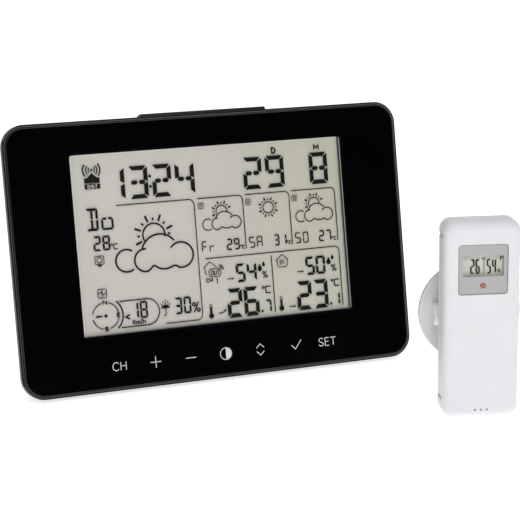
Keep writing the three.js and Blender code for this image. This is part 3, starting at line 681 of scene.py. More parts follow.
bpy.context.view_layer.update()
_dg = bpy.context.evaluated_depsgraph_get()
_me = bpy.data.meshes.new_from_object(house.evaluated_get(_dg))
house.modifiers.clear()
house.data = _me
for o in SCRATCH:
    bpy.data.objects.remove(o)
SCRATCH = []
holes = [box(BX0, BX1, 11.6, BACK + 2, BZ0, BZ1), box(BX0 - 1.5, BX1 + 1.5, 26.3, BACK + 2, BZ0 - 1.2, BZ1 + 1.2),
         box(-22, 22, 21.8, BACK + 2, 6, 24.2), box(-22, 22, 25.1, BACK + 2, 24, 65.4),
         Body().prism(outline(18, 9.2, 3.0, 0, 65.0, 8), 25.1, BACK + 2),
         cyl_x(25.2, 20.5, 1.8, -23.7, 23.7, 28), cyl_x(17.5, 116, 4.8, -79, -27, 36), box(-34.4, 34.4, 3, 14.3, 132.2, H + 3)]
for x, z in SCREWS:
    holes += [cyl_y(x, z, 3.3, 19, BACK + 2, 32), cyl_y(x, z, 1.6, 9, 20, 20)]
holes += [Body().prism(outline(24, 1.7, 0.84, -62, 31.5 + 3.4 * i, 5), 25.5, BACK + 1) for i in range(6)]
holes += [Body().prism(outline(20, 1.7, 0.84, -74, 68 + 3.4 * i, 5), 25.5, BACK + 1) for i in range(8)]
house = csg(house, cut=holes)
place(house, "rear_housing_shell", "c", "console", M["housing"], "rear_housing", bevel=0.28, seg=2, angle=38, bevel_angle=42)

# battery door: hinge roll, grip recess with ridges
DY, DZ = 27.55, 19.75
p = [(DY + 0.95 * cos((180 + 180 * i / 14) * DEG), DZ + 0.95 * sin((180 + 180 * i / 14) * DEG)) for i in range(15)]
p += [(DY + 0.95, BZ1 + 0.85), (DY - 0.95, BZ1 + 0.85)]
grip = [Body().prism_x([(27.6, 60.2), (29, 58.6), (29, 62.6), (27.6, 62.2)], 48, 62)]
groove = [box(44, 66, 28.28, 29, 54.6 - 1.5 * i, 55.2 - 1.5 * i) for i in range(5)]
door = csg(Body().prism_x(p, BX0 - 1.15, BX1 + 1.15), cut=grip + groove)
place(door, "battery_door_panel", "c", "cell_door", M["door"], "battery_door", bevel=0.22, seg=2, angle=35)

# snooze bar: crowned top with fine lengthwise ribs, rounded ends
prof = smooth_profile([(13.8, 136.6), (12.4, 138.9), (9.2, 140.2), (4.6, 140.6), (3.2, 140.45), (2.45, 139.7)], 14)
rib = []
acc = 0.0
for i, q in enumerate(prof):
    if i:
        acc += sqrt((q[0] - prof[i - 1][0]) ** 2 + (q[1] - prof[i - 1][1]) ** 2)
    a, b = prof[max(i - 1, 0)], prof[min(i + 1, len(prof) - 1)]
    t = Vector((b[0] - a[0], b[1] - a[1])).normalized()
    s = 0.12 * (0.5 - 0.5 * cos(2 * pi * acc / 0.95)) if 0.6 < acc < 15 else 0
    rib.append((q[0] - (t.y * -1) * 0 - t.y * s * -1 * -1, q[1] + t.x * s))
poly = [(2.45, 135.0), (13.8, 135.0)] + rib
cy, cz_ = 8.1, 137.6


def bar_ring(x, k):
    return [(x, cy + (y - cy) * (1 - k / 6), cz_ + (z - cz_) * (1 - k / 3)) for y, z in poly]


bar = Body().rings([bar_ring(-34.0, 0.32), bar_ring(-33.93, 0.12), bar_ring(-33.7, 0.0), bar_ring(33.7, 0.0), bar_ring(33.93, 0.12), bar_ring(34.0, 0.32)])
bar_o = csg(bar, join=[box(-36.6, 36.6, 2.55, 4.05, 134.9, 136.5), box(-5, 5, 9.8, 12.6, 132.6, 135.2)])
place(bar_o, "snooze_bar_ribbed", "c", "snooze", M["bar"], "snooze_bar", angle=50)

# stand leg, built folded and swung to where it stands
SY, SZ, SL, SH, SO = 25.2, 20.5, 44.0, 21.7, 98.4
ca, sa = cos(-SO * DEG), sin(-SO * DEG)


def swing(o):
    for v in o.data.vertices:
        y, z = v.co.y * 1000 - SY, v.co.z * 1000 - SZ
        v.co.y, v.co.z = (SY + y * ca - z * sa) / 1000, (SZ + y * sa + z * ca) / 1000
    return o


leg = csg(cyl_x(SY, SZ, 2.9, -SH, SH, 40), join=[Body().prism(outline(2 * SH, SL, 2.2, 0, SZ + SL / 2 + 0.0, 8), SY + 0.2, SY + 2.9), box(-SH, SH, SY + 0.2, SY + 2.9, SZ, SZ + 5),
          cyl_x(SY, SZ, 1.62, -23.3, 23.3, 28)],
          cut=[Body().prism(outline(22, 18, 5, 0, SZ + 21, 10), SY - 1, SY + 4),
               box(-20.0, -11.0, SY + 2.1, SY + 4, SZ + 36.6, SZ + 43), box(11.0, 20.0, SY + 2.1, SY + 4, SZ + 36.6, SZ + 43)])
place(swing(leg), "stand_leg_frame", "c", "stand_leg", M["housing"], "stand", bevel=0.3, seg=3, angle=38, bevel_angle=40)


def table_z(y):
    return (y * sin(LEAN * DEG) - LIFT) / cos(LEAN * DEG)


def to_open(y, z):
    return (SY + (y - SY) * ca - (z - SZ) * sa, SZ + (y - SY) * sa + (z - SZ) * ca)


def on_table(a, b):
    fa, fb = a[1] - table_z(a[0]), b[1] - table_z(b[0])
    t = fa / (fa - fb)
    return (a[0] + t * (b[0] - a[0]), a[1] + t * (b[1] - a[1]))


p0, p1 = to_open(SY + 2.35, SZ + 36.9), to_open(SY + 2.35, SZ + 42.7)
q1, q0 = to_open(SY + 5.5, SZ + 42.7), to_open(SY + 5.5, SZ + 36.9)
for side, x in (("left", -15.5), ("right", 15.5)):
    pad = Body().prism_x([p0, on_table(p0, q0), on_table(p1, q1), p1], x - 4.2, x + 4.2)
    place(pad, "stand_pad_soft_" + side, "c", "stand_leg", M["rubber"], "stand_pad_" + side, bevel=0.3, seg=3)
for side, x in (("left", -78), ("right", 78)):
    foot = Body().prism_x([(8.5, table_z(8.5)), (16.5, table_z(16.5)), (16.5, 4.55), (14, 3.65), (8.5, 2.4)], x - 8, x + 8)
    place(foot, "foot_soft_" + side, "c", "console", M["rubber"], "foot_" + side, bevel=0.4, seg=3)

# case screws: domed heads with a cross recess
for k, (x, z) in enumerate(SCREWS, 1):
    head = Body().lathe([(0.02, 5.2), (0.7, 5.6), (1.0, 6.6), (1.0, 19.3), (2.62, 19.3), (2.7, 19.5), (2.66, 20.1), (2.3, 20.65), (1.5, 20.94), (0.02, 21.0)], "y", (x, z), 36)
    s = csg(head, cut=[Body().prism([(x - 1.5, z - 0.28), (x + 1.5, z - 0.28), (x + 1.5, z + 0.28), (x - 1.5, z + 0.28)], 19.9, 22),
                       Body().prism([(x - 0.28, z - 1.5), (x + 0.28, z - 1.5), (x + 0.28, z + 1.5), (x - 0.28, z + 1.5)], 19.9, 22)])
    place(s, "screw_head_%d" % k, "c", "console", M["steel"], "case_screw_%d" % k, angle=35)

# AA cells with crimped ends
for k, z in enumerate((27.0, 42.1, 57.2)):
    x0, x1 = 30.6, 80.6
    s = 1 if k % 2 == 0 else -1
    a, b = (x0, x1) if s > 0 else (x1, x0)
    prof_c = [(0.02, a), (4.6, a), (4.9, a + s * 0.15), (6.2, a + s * 0.15), (6.6, a + s * 0.05), (7.0, a + s * 0.35), (7.1, a + s * 0.9),
              (7.1, b - s * 2.3), (7.0, b - s * 1.8), (6.6, b - s * 1.45), (6.1, b - s * 1.6), (2.9, b - s * 1.6), (2.75, b - s * 1.3), (2.6, b - s * 0.3), (2.3, b), (0.02, b)]
    cell = Body().lathe(prof_c, "x", (19.1, z), 48)
    place(cell, "aa_cell_%d" % (k + 1), "c", "console", M["aa_fwd"] if s > 0 else M["aa_rev"], "battery_%d" % (k + 1), angle=40)


# ------------------------------------------------------------ display
# what is drawn is given where it is seen in the plane of the front; deep()
# carries it back along the line of sight to its own depth
def deep(x, z, y, eye=None):
    e = eye or EYE
    k = y / -e.y
    return (x + (x - e.x) * k, z + (z - e.z) * k)


INK_Y = 2.3
INK_T = 0.07
ink, thin, faint, prt = Body(), Body(), Body(), Body()


def D(pts, y=INK_Y):
    return [deep(x, z, y) for x, z in pts]


def stroke(pts, w, b=None, closed=False):
    (ink if b is None else b).strip(D(pts), w, INK_Y, INK_Y + INK_T, closed)


def blob(pts, b=None):
    (ink if b is None else b).prism(D(pts), INK_Y, INK_Y + INK_T)


def dot(x, z, r, b=None, n=20):
    blob(arc(x, z, r, 0, 360 * (n - 1) / n, n - 1), b)


SEG = {"0": "abcdef", "1": "bc", "2": "abged", "3": "abgcd", "4": "fgbc", "5": "afgcd", "6": "afgedc", "7": "abc", "8": "abcdefg", "9": "abcdfg"}


def digit(ch, x, z, w, h, t, g=0.14, split=False, b=None, slant=0.0):
    """Seven-segment figure, lower left corner at x, z."""
    t *= 1.1
    c = t * 0.24
    m = h / 2
    ht = t / 2
    polys = {
        "a": [(c + g, h), (w - c - g, h), (w - t - g, h - t), (t + g, h - t)],
        "d": [(t + g, t), (w - t - g, t), (w - c - g, 0), (c + g, 0)],
        "f": [(0, h - c - g), (t, h - t - g), (t, m + ht + g * 0.7), (0, m + g * 1.2)],
        "b": [(w, h - c - g), (w, m + g * 1.2), (w - t, m + ht + g * 0.7), (w - t, h - t - g)],
        "e": [(0, m - g * 1.2), (t, m - ht - g * 0.7), (t, t + g), (0, c + g)],
        "c": [(w, m - g * 1.2), (w, c + g), (w - t, t + g), (w - t, m - ht - g * 0.7)],
    }
    gl, gr = t * 0.52 + g, w - t * 0.52 - g
    for s in SEG.get(ch, ch):
        if s == "g" and not split:
            blobs = [[(gl, m), (gl + ht, m + ht), (gr - ht, m + ht), (gr, m), (gr - ht, m - ht), (gl + ht, m - ht)]]
        elif s == "g":
            q = w / 2
            blobs = []
            for x0, x1 in ((gl, q - g * 1.6), (q + g * 1.6, gr)):
                k = ht * 0.92
                blobs.append([(x0, m), (x0 + k * 0.55, m + ht * 0.8), (x0 + k, m + ht), (x1 - k, m + ht), (x1 - k * 0.55, m + ht * 0.8), (x1, m),
                              (x1 - k * 0.55, m - ht * 0.8), (x1 - k, m - ht), (x0 + k, m - ht), (x0 + k * 0.55, m - ht * 0.8)])
        else:
            blobs = [polys[s]]
        for q in blobs:
            blob([(x + u + slant * v, z + v) for u, v in q], b)


def small_c(x, z, s, b=None, w=None):
    """Degree ring and a segment-like C; x, z is the lower left of the C, s its height."""
    w = w or s * 0.17
    stroke([(x + s * 0.78, z + s - w / 2), (x + w, z + s - w / 2), (x + w * 0.6, z + s - w), (x + w * 0.6, z + w), (x + w, z + w / 2), (x + s * 0.78, z + w / 2)], w, b)
    stroke(arc(x - s * 0.24, z + s * 0.84, s * 0.13, 0, 350, 14), w * 0.8, b, True)


def percent(x, z, s, b=None):
    w = s * 0.13
    stroke(arc(x + s * 0.2, z + s * 0.78, s * 0.15, 0, 345, 16), w, b, True)
    stroke(arc(x + s * 0.62, z + s * 0.22, s * 0.15, 0, 345, 16), w, b, True)
    stroke([(x + s * 0.66, z + s), (x + s * 0.16, z)], w, b)


LET = {
    "D": [[(0, 0), (0, 1), (.55, 1), (.85, .8), (1, .5), (.85, .2), (.55, 0), (0, 0)]],
    "M": [[(0, 0), (0, 1), (.5, .4), (1, 1), (1, 0)]], "N": [[(0, 0), (0, 1), (1, 0), (1, 1)]],
    "E": [[(1, 1), (0, 1), (0, 0), (1, 0)], [(0, .5), (.85, .5)]], "S": [[(1, .9), (.7, 1), (.3, 1), (0, .85), (0, .62), (1, .4), (1, .15), (.7, 0), (.3, 0), (0, .1)]],
    "C": [[(1, .85), (.7, 1), (.3, 1), (0, .75), (0, .25), (.3, 0), (.7, 0), (1, .15)]], "H": [[(0, 0), (0, 1)], [(1, 0), (1, 1)], [(0, .5), (1, .5)]],
    "O": [[(.3, 0), (0, .25), (0, .75), (.3, 1), (.7, 1), (1, .75), (1, .25), (.7, 0), (.3, 0)]], "U": [[(0, 1), (0, .2), (.25, 0), (.75, 0), (1, .2), (1, 1)]],
    "T": [[(0, 1), (1, 1)], [(.5, 1), (.5, 0)]], "I": [[(.5, 0), (.5, 1)]], "1": [[(.25, .8), (.55, 1), (.55, 0)]],
    "K": [[(0, 0), (0, 1)], [(1, 1), (.05, .42)], [(.35, .62), (1, 0)]], "m": [[(0, 0), (0, .62)], [(0, .5), (.25, .64), (.5, .5), (.5, 0)], [(.5, .5), (.75, .64), (1, .5), (1, 0)]],
    "/": [[(0, -.1), (1, 1.1)]], "h": [[(0, 0), (0, 1)], [(0, .45), (.4, .64), (.9, .5), (.9, 0)]],
    "<": [[(1, .95), (0, .5), (1, .05)]], "P": [[(0, 0), (0, 1), (.7, 1), (1, .8), (1, .6), (.7, .42), (0, .42)]],
}


def text(s, x, z, h, w, gap, t, b=None):
    for ch in s:
        k = {"/": 0.55, "m": 1.25, "I": 0.5}.get(ch, 1.0)
        for line in LET[ch]:
            stroke([(x + u * w * k, z + v * h) for u, v in line], t, b)
        x += w * k + gap


# ---- top row: clock, day, month
Z0, DH, DW, DT = 97.45, 16.8, 10.3, 2.0
for ch, right in (("1", -46.0), ("3", -33.7), ("2", -21.15), ("4", -8.75)):
    digit(ch, right - DW, Z0, DW, DH, DT, 0.15, True)
for z in (102.5, 107.85):
    blob([(-33.25, z), (-31.95, z), (-31.95, z + 1.35), (-33.25, z + 1.35)])
for ch, left in (("2", 18.05), ("9", 30.5), ("8", 55.3)):
    digit(ch, left, Z0, 10.4, DH, DT, 0.15, True)
text("D", 34.8, 115.6, 2.6, 2.0, 0.4, 0.78)
text("M", 58.8, 115.7, 2.5, 2.5, 0.4, 0.74)

# ---- radio tower with its two badges
tx_, tz_ = -62.85, 113.85
dot(tx_, tz_, 0.62)
for r, span, w in ((1.6, 50, 0.55), (2.95, 46, 0.62), (4.5, 42, 0.75)):
    stroke(arc(tx_, tz_, r, -span, span, 12), w)
    stroke(arc(tx_, tz_, r, 180 - span, 180 + span, 12), w)
blob([(-65.5, 109.85), (-60.2, 109.85), (tx_, 112.35)])


def badge(x0, x1, z0, z1, s, h):
    """A dark plate; its light letters are laid over it separately."""
    blob([(x0, z0), (x1, z0), (x1, z1), (x0, z1)])


badge(-66.9, -58.9, 107.3, 109.85, "", 1.5)
badge(-66.9, -58.8, 104.25, 106.75, "", 1.5)
label = Body()


def lab(s, x, z, h, w, gap, t):
    for ch in s:
        for line in LET[ch]:
            label.strip([deep(x + u * w, z + v * h, INK_Y - 0.03) for u, v in line], t, INK_Y - 0.03, INK_Y + 0.02)
        x += w + gap


lab("DST", -65.3, 104.75, 1.45, 1.25, 0.62, 0.34)

# ---- weekday and day's high on the left
t = 1.25
x0, x1, zb, zt, zm = -67.4, -61.4, 82.95, 94.45, 88.7
blob([(x0, zt), (x1 - 0.3, zt), (x1 - t, zt - t), (x0 + 0.7, zt - t)])
blob([(x0 + 0.7, zb + t), (x1 - t, zb + t), (x1 - 0.3, zb), (x0, zb)])
for a, b in ((zm + 0.3, zt - t - 0.1), (zb + t + 0.1, zm - 0.3)):
    blob([(-65.25, a), (-64.1, a), (-64.1, b), (-65.25, b)])
blob([(x1 - t, zm + 0.55), (x1, zm + 0.25), (x1, zt - 0.45), (x1 - t, zt - t - 0.1)])
blob([(x1 - t, zb + t + 0.1), (x1, zb + 0.45), (x1, zm - 0.25), (x1 - t, zm - 0.55)])
ox0, ox1, ozt = -59.95, -53.5, 89.3
t = 1.1
om = (ox0 + ox1) / 2
for a, b in ((ox0 + 0.5, om - 0.25), (om + 0.25, ox1 - 0.5)):
    blob([(a, ozt - t / 2), (a + 0.5, ozt), (b - 0.4, ozt), (b, ozt - t / 2), (b - 0.4, ozt - t), (a + 0.5, ozt - t)])
blob([(ox0, ozt - 0.75), (ox0 + t, ozt - t - 0.2), (ox0 + t, zb + t + 0.1), (ox0, zb + 0.4)])
blob([(ox1, ozt - 0.75), (ox1, zb + 0.4), (ox1 - t, zb + t + 0.1), (ox1 - t, ozt - t - 0.2)])
blob([(ox0 + t + 0.1, zb + t), (ox1 - t - 0.1, zb + t), (ox1 - 0.35, zb), (ox0 + 0.35, zb)])
digit("2", -64.95, 72.55, 4.0, 7.6, 0.95, 0.07)
digit("8", -60.15, 72.55, 4.0, 7.6, 0.95, 0.07)
small_c(-54.7, 72.65, 3.0)

# ---- small pictograms under it


def rrect(x0, x1, z0, z1, r, n=5):
    return outline(x1 - x0, z1 - z0, r, (x0 + x1) / 2, (z0 + z1) / 2, n)


stroke(rrect(-64.8, -60.2, 65.7, 70.0, 0.7), 0.4, thin, True)
stroke(arc(-62.5, 67.85, 1.35, 0, 350, 20), 0.4, thin, True)
blob([(-63.6, 65.4), (-61.4, 65.4), (-61.7, 64.6), (-63.3, 64.6)], thin)
stroke(rrect(-64.8, -60.25, 48.55, 53.05, 0.9), 0.42, thin, True)
stroke([(-64.5, 50.6), (-63.3, 51.6), (-61.9, 50.0), (-60.6, 51.2)], 0.42, thin)
stroke([(-62.55, 52.9), (-62.55, 50.9)], 0.42, thin)
stroke([(-62.7, 50.6), (-62.7, 48.7)], 0.42, thin)

# ---- big picture: sun behind clouds
sx_, sz_, sr = -32.85, 78.35, 5.85
stroke(arc(sx_, sz_, sr, -12, 208, 40), 0.82)


def rays(cx, cz, k, skip=()):
    for i in range(16):
        a = 90 - i * 22.5
        a = (a + 360) % 360
        if a in skip:
            continue
        long = (i % 2 == 1)
        r0, r1, w = (7.15, 10.75, 1.08) if long else (7.35, 8.8, 1.0)
        c, s = cos(a * DEG), sin(a * DEG)
        p0, p1 = (cx + c * r0 * k, cz + s * r0 * k), (cx + c * r1 * k, cz + s * r1 * k)
        stroke([p0, p1], w * k if k > 0.8 else w * 0.62)


def big_rays():
    for a, long in ((90, 0), (67.5, 1), (45, 0), (20.5, 1), (0, 0), (112.5, 1), (135, 0), (159.5, 1), (182, 0), (204.5, 1)):
        r0, r1, w = (7.3, 10.8, 1.08) if long else (7.45, 8.85, 0.98)
        c, s = cos(a * DEG), sin(a * DEG)
        stroke([(sx_ + c * r0, sz_ + s * r0), (sx_ + c * r1, sz_ + s * r1)], w)


big_rays()


def cloud(ox, oz, k, w, b=None):
    """Two clouds; ox, oz carries the big one's own coordinates, k its size."""
    f = lambda pts: [(ox + x * k, oz + z * k) for x, z in pts]
    stroke(f(arc(-48.25, 66.25, 5.75, 56, 307, 34)), w, b)
    left = arc(-38.25, 65.65, 5.85, 84, 268, 30)
    s1 = [(-37.2, 60.0), (-35.9, 60.9), (-34.8, 62.05), (-34.1, 62.5), (-33.3, 62.2), (-32.2, 61.3), (-30.6, 60.55), (-28.6, 60.2), (-27.0, 60.25), (-25.2, 60.8), (-23.25, 61.6), (-22.2, 61.4), (-21.0, 60.75)]
    right = arc(-19.25, 66.75, 6.6, 256 - 360, 142, 44)
    stroke(f(left + s1 + right), w, b)
    stroke(f(arc(-30.25, 68.5, 9.95, 161, 38, 40)), w, b)


cloud(0, 0, 1, 0.88)

# ---- wind and rain
cx_, cz2, cr = -61.6, 39.2, 6.85
for a0, a1 in ((12, 76), (104, 168), (192, 256), (284, 348)):
    stroke(arc(cx_, cz2, cr, a0, a1, 16), 0.5)
text("N", cx_ - 0.95, cz2 + cr - 0.85, 1.75, 1.9, 0, 0.6)
text("S", cx_ - 0.8, cz2 - cr - 0.75, 1.75, 1.6, 0, 0.6)
text("E", cx_ + cr - 0.85, cz2 - 0.9, 1.75, 1.5, 0, 0.6)
dot(cx_, 39.15, 0.85)
blob([(-66.9, 39.15), (-66.2, 39.75), (-64.9, 39.6), (-63.3, 39.45), (-63.3, 38.85), (-64.9, 38.7), (-66.2, 38.55)])
stroke(arc(-61.9, 39.2, 9.35, -48, 48, 24), 0.75)
pill = [(-54.0, 45.85), (-39.6, 45.85)] + arc(-39.6, 39.1, 6.4, 90, -90, 26, 6.75)[1:] + [(-53.8, 32.35)]
stroke(pill, 0.58)
digit("1", -47.4, 36.05, 3.2, 8.8, 0.95, 0.07)
digit("8", -43.45, 36.05, 4.05, 8.8, 0.95, 0.07)
text("<", -51.3, 36.2, 2.6, 2.3, 0, 0.75)
text("KM/H".replace("M", "m").replace("H", "h"), -47.6, 33.3, 2.2, 1.35, 0.5, 0.5)
ux = -29.75
blob(arc(ux, 39.75, 2.35, 180, 0, 18, 1.95) + [(ux + 1.75, 40.0), (ux + 0.9, 39.7), (ux, 40.0), (ux - 0.9, 39.7), (ux - 1.75, 40.0)])
stroke([(ux, 41.2), (ux, 36.6)] + arc(ux - 0.6, 36.6, 0.6, 0, -170, 8)[1:], 0.42)
for dx, dz in ((0, 44.3), (0, 42.9), (-1.3, 43.5), (1.3, 43.5), (-2.2, 42.2), (2.2, 42.2)):
    stroke([(ux + dx * 0.96, dz), (ux + dx * 1.06, dz - 0.8)], 0.55)
digit("3", -24.9, 36.0, 4.1, 8.75, 0.98, 0.07)
digit("0", -19.95, 36.0, 4.0, 8.75, 0.98, 0.07)
percent(-15.5, 36.1, 5.4)

# ---- rules between the fields
RW = 0.52


def rule(pts):
    stroke(pts, RW, thin)


rule([(-51.6, 94.9), (-13.0, 94.9)] + arc(-13.0, 91.95, 2.95, 90, 0, 12)[1:] + [(-10.15, 35.0)] + arc(-13.1, 34.9, 2.95, 0, -90, 12)[1:] + [(-30.3, 31.95)])
for xa, xb in ((-8.1, 16.6), (17.9, 42.6), (43.9, 68.75)):
    rule([(xa, 94.9), (xb - 2.5, 94.9)] + arc(xb - 2.5, 92.4, 2.5, 90, 0, 12)[1:] + [(xb, 66.7)])
rule([(-6.25, 63.35), (66.4, 63.35)] + arc(66.4, 60.9, 2.45, 90, 0, 12)[1:] + [(68.85, 31.5)])
rule([(30.1, 61.7), (30.1, 31.5)])

# ---- three forecast fields
K = 0.525


def face(x, z):
    """Small framed pictogram in a field's corner."""
    stroke(rrect(x, x + 3.1, z, z + 3.1, 0.8), 0.3, faint, True)
    stroke(rrect(x + 0.75, x + 2.35, z + 1.65, z + 2.55, 0.4, 3), 0.28, faint, True)
    stroke(rrect(x + 0.75, x + 2.35, z + 0.55, z + 1.45, 0.4, 3), 0.28, faint, True)


def sun_small(cx, cz, r, whole, w=0.52):
    stroke(arc(cx, cz, r, 0, 350, 36) if whole else arc(cx, cz, r, -4, 206, 30), w, closed=whole)
    for i in range(16):
        a = 90 + 22.5 * i
        if not whole and not (a % 360 <= 92.5 + 118 and a % 360 >= 20):
            continue
        long = i % 2 == 1
        r0, r1, ww = (3.95, 5.55, 0.78) if long else (3.95, 4.7, 0.7)
        c, s = cos(a * DEG), sin(a * DEG)
        stroke([(cx + c * r0, cz + s * r0), (cx + c * r1, cz + s * r1)], ww)


for x in (-7.95, 18.05, 44.05):
    face(x, 89.45)
for dx in (0.0, 51.9):
    sun_small(4.55 + dx, 87.45, 3.0, False)
    cloud(-3.35 + dx + 25.35 * K - 0.0, 80.95 - 66.25 * K, K, 0.4) if False else None
    f = lambda pts: [(x + dx, z) for x, z in pts]
    stroke(f(arc(-3.3, 80.95, 2.95, 56, 305, 28)), 0.5)
    s1 = [(2.55, 78.1), (3.3, 78.6), (3.95, 79.15), (4.5, 79.05), (5.4, 78.55), (6.6, 78.3), (7.9, 78.35), (9.0, 78.75), (9.75, 78.95), (10.4, 78.7)]
    stroke(f(arc(1.85, 80.95, 3.05, 80, 268, 28) + s1 + arc(11.6, 81.3, 3.3, 252 - 360, 142, 34)), 0.52)
    stroke(f(arc(5.85, 81.9, 5.25, 156, 36, 28)), 0.52)
sun_small(30.5, 87.25, 2.95, True)


def seg_text(x, z, h, w, t, pat):
    """Open-figure letters in the same segment style."""
    digit(pat, x, z, w, h, t, 0.06, b=thin)


seg_text(-7.7, 66.9, 5.6, 3.0, 0.55, "afeg")
stroke([(-3.25, 67.0), (-3.25, 69.6), (-1.1, 69.6)], 0.55, thin)
for pat, x in (("afgcd", 18.5), ("abcefg", 22.7), ("afgcd", 44.4), ("abcdef", 48.75)):
    seg_text(x, 66.75, 5.8, 3.2, 0.56, pat)
for a, b, x in (("2", "9", 6.0), ("3", "1", 32.3), ("2", "7", 57.9)):
    digit(a, x, 66.65, 3.15, 5.95, 0.72, 0.06)
    digit(b, x + 4.0, 66.65, 3.15, 5.95, 0.72, 0.06)
for x in (14.35, 40.45, 66.3):
    small_c(x, 66.7, 2.05, None, 0.44)

# ---- outdoor and indoor readings


def drops(x):
    for cx, zt, zb, w in ((x, 57.95, 54.0, 1.25), (x + 2.25, 59.15, 56.45, 0.86)):
        r = w
        blob([(cx, zt)] + arc(cx, zb + r, r, 150, 390, 16))


def arrow(x0, x1, z):
    stroke([(x0, z), (x1 - 0.7, z)], 0.5)
    blob([(x1 - 1.3, z - 0.6), (x1, z), (x1 - 1.3, z + 0.6)])


def thermo(x):
    stroke([(x, 33.4), (x, 38.0)], 1.25)
    dot(x, 33.25, 1.4)
    stroke([(x - 0.6, 38.0), (x - 0.6, 38.7)] + arc(x, 38.7, 0.6, 180, 0, 10)[1:] + [(x + 0.6, 38.0)], 0.34, thin)


for ox, h, tt in ((0.0, "54", "267"), (39.2, "50", "231")):
    digit(h[0], 9.85 + ox, 49.3, 5.15, 9.75, 1.22, 0.09)
    digit(h[1], 15.95 + ox - (0.2 if h[1] == "0" else 0), 49.3, 5.35, 9.75, 1.22, 0.09)
    drops(23.15 + ox)
    percent(24.35 + ox, 50.2, 3.7)
    arrow(4.85 + ox, 8.75 + ox, 51.6)
    digit(tt[0], 3.8 + ox, 31.15, 8.4, 15.2, 1.9, 0.13)
    digit(tt[1], 13.1 + ox, 31.15, 8.4, 15.2, 1.9, 0.13)
    blob([(22.3 + ox, 32.3), (23.5 + ox, 32.3), (23.5 + ox, 33.5), (22.3 + ox, 33.5)])
    digit(tt[2], 24.85 + ox, 31.75, 3.4, 6.9, 0.95, 0.07)
    small_c(25.25 + ox, 41.95, 3.95, None, 0.6)
thermo(-5.35)
thermo(33.85)
arrow(38.4, 42.1, 33.6)
stroke([(-1.4, 34.25), (0.6, 34.25), (1.9, 34.9), (2.6, 35.5)], 0.5)
blob([(1.7, 35.55), (3.0, 36.1), (2.75, 34.75)])


def house(x, z0, z1, w):
    stroke([(x - 3.55, z1 - 2.85), (x, z1), (x + 3.55, z1 - 2.85)], w, thin)
    return [(x - 2.85, z1 - 2.6), (x - 2.75, z0 + 0.9), (x - 1.9, z0), (x + 1.9, z0), (x + 2.75, z0 + 0.9), (x + 2.85, z1 - 2.6)]


stroke(house(36.0, 55.1, 61.6, 0.42), 0.42, thin)
text("IN", 34.5, 56.4, 2.6, 1.3, 0.55, 0.42, thin)
stroke(house(-4.15, 54.9, 61.5, 0.42)[:3], 0.42, thin)
stroke(rrect(-5.0, 1.6, 53.55, 57.75, 1.7, 6), 0.42, thin, True)
text("OUT", -3.75, 54.6, 2.1, 1.25, 0.45, 0.42, thin)
blob([(0.9, 57.9), (0.9, 59.6), (1.6, 59.75), (2.6, 59.2), (3.6, 57.2), (2.9, 56.8), (2.2, 57.5)], faint)
text("CH", -6.6, 51.1, 1.75, 1.35, 0.5, 0.5)
text("1", -1.35, 49.8, 2.7, 1.2, 0, 0.55)

PIECES = []
for nm, b, mt in (("display_segments", ink, "seg"), ("display_rules", thin, "thin"), ("display_marks", faint, "faint"), ("display_badge_text", label, "lcd")):
    if b.f:
        o = raw(b, nm, merge=0)
        place(o, nm, "c", "console", M[mt], "lcd_glass", angle=20)
        o.visible_glossy = False

# ---- ground of the display, and thin strips behind the lens round its window with painted shade (the right wall and the foot) and painted highlights (a glint at the right, the left and head edges)
gy = 2.92
place(Body().rings([at_y(outline(153.2, 98.8, 0.6, 0, 74.9, 5), gy), at_y(outline(153.2, 98.8, 0.6, 0, 74.9, 5), 4.3)]),
      "display_panel", "c", "console", M["lcd"], "lcd_glass", angle=20)
sy = 3.0


def bar_at(xa, xb, y, name, mat, za=28.4, zb=122.4):
    pts = [deep(xa, za, y), deep(xb, za, y), deep(xb, zb, y), deep(xa, zb, y)]
    place(Body().prism(pts, y, y + 0.06), name, "c", "console", M[mat], "lcd_glass", angle=20).visible_shadow = False


# painted shade and painted highlights: flat strips behind the lens that paint the dark right wall, the shadow at the
# foot and the light edges of the window; they cast no shadow
for nm, mt, xa, xb, za, zb in (("right_a", "rim_painted_shade_mid", 71.75, 72.2, 29.2, 122.0), ("right_b", "rim_painted_shade_dark", 72.2, 73.12, 29.2, 122.0), ("right_c", "rim_painted_glint", 73.12, 73.75, 29.0, 121.9),
                               ("foot_a", "rim_painted_shade_pale", -73.0, 71.7, 30.0, 30.5), ("foot_b", "rim_painted_shade_mid", -73.0, 72.2, 29.45, 30.0), ("foot_c", "rim_painted_shade_dark", -73.2, 73.1, 28.8, 29.45),
                               ("left", "rim_painted_highlight_bright", -73.9, -73.0, 29.6, 121.6), ("head", "rim_painted_highlight_bright", -73.0, 72.0, 121.35, 122.0)):
    bar_at(xa, xb, 2.0, "display_rim_painted_light_" + nm, mt, za, zb)

# ---- touch symbols printed on the lens
KY0, KY1 = -0.012, 0.03
kb = Body()


def ks(pts, w, closed=False):
    kb.strip(pts, w, KY0, KY1, closed)


KT = 0.39
# CH
ks([(-57.35 + 1.75 * cos(a * DEG) - 1.1, 12.7 + 2.1 * sin(a * DEG)) for a in range(42, 319, 12)], KT)
ks([(-56.0, 10.6), (-56.0, 14.8)], KT); ks([(-53.2, 10.6), (-53.2, 14.8)], KT); ks([(-56.0, 12.8), (-53.2, 12.8)], KT)
# plus, minus
ks([(-40.3, 12.7), (-34.5, 12.7)], KT); ks([(-37.4, 9.7), (-37.4, 15.7)], KT)
ks([(-21.2, 12.7), (-15.5, 12.7)], KT + 0.03)
# half-filled circle
ks(arc(0.8, 12.7, 3.1, 0, 354, 44), 0.38, True)
kb.prism([(0.8, 9.5)] + arc(0.8, 12.7, 3.2, -90, 90, 24), KY0, KY1)
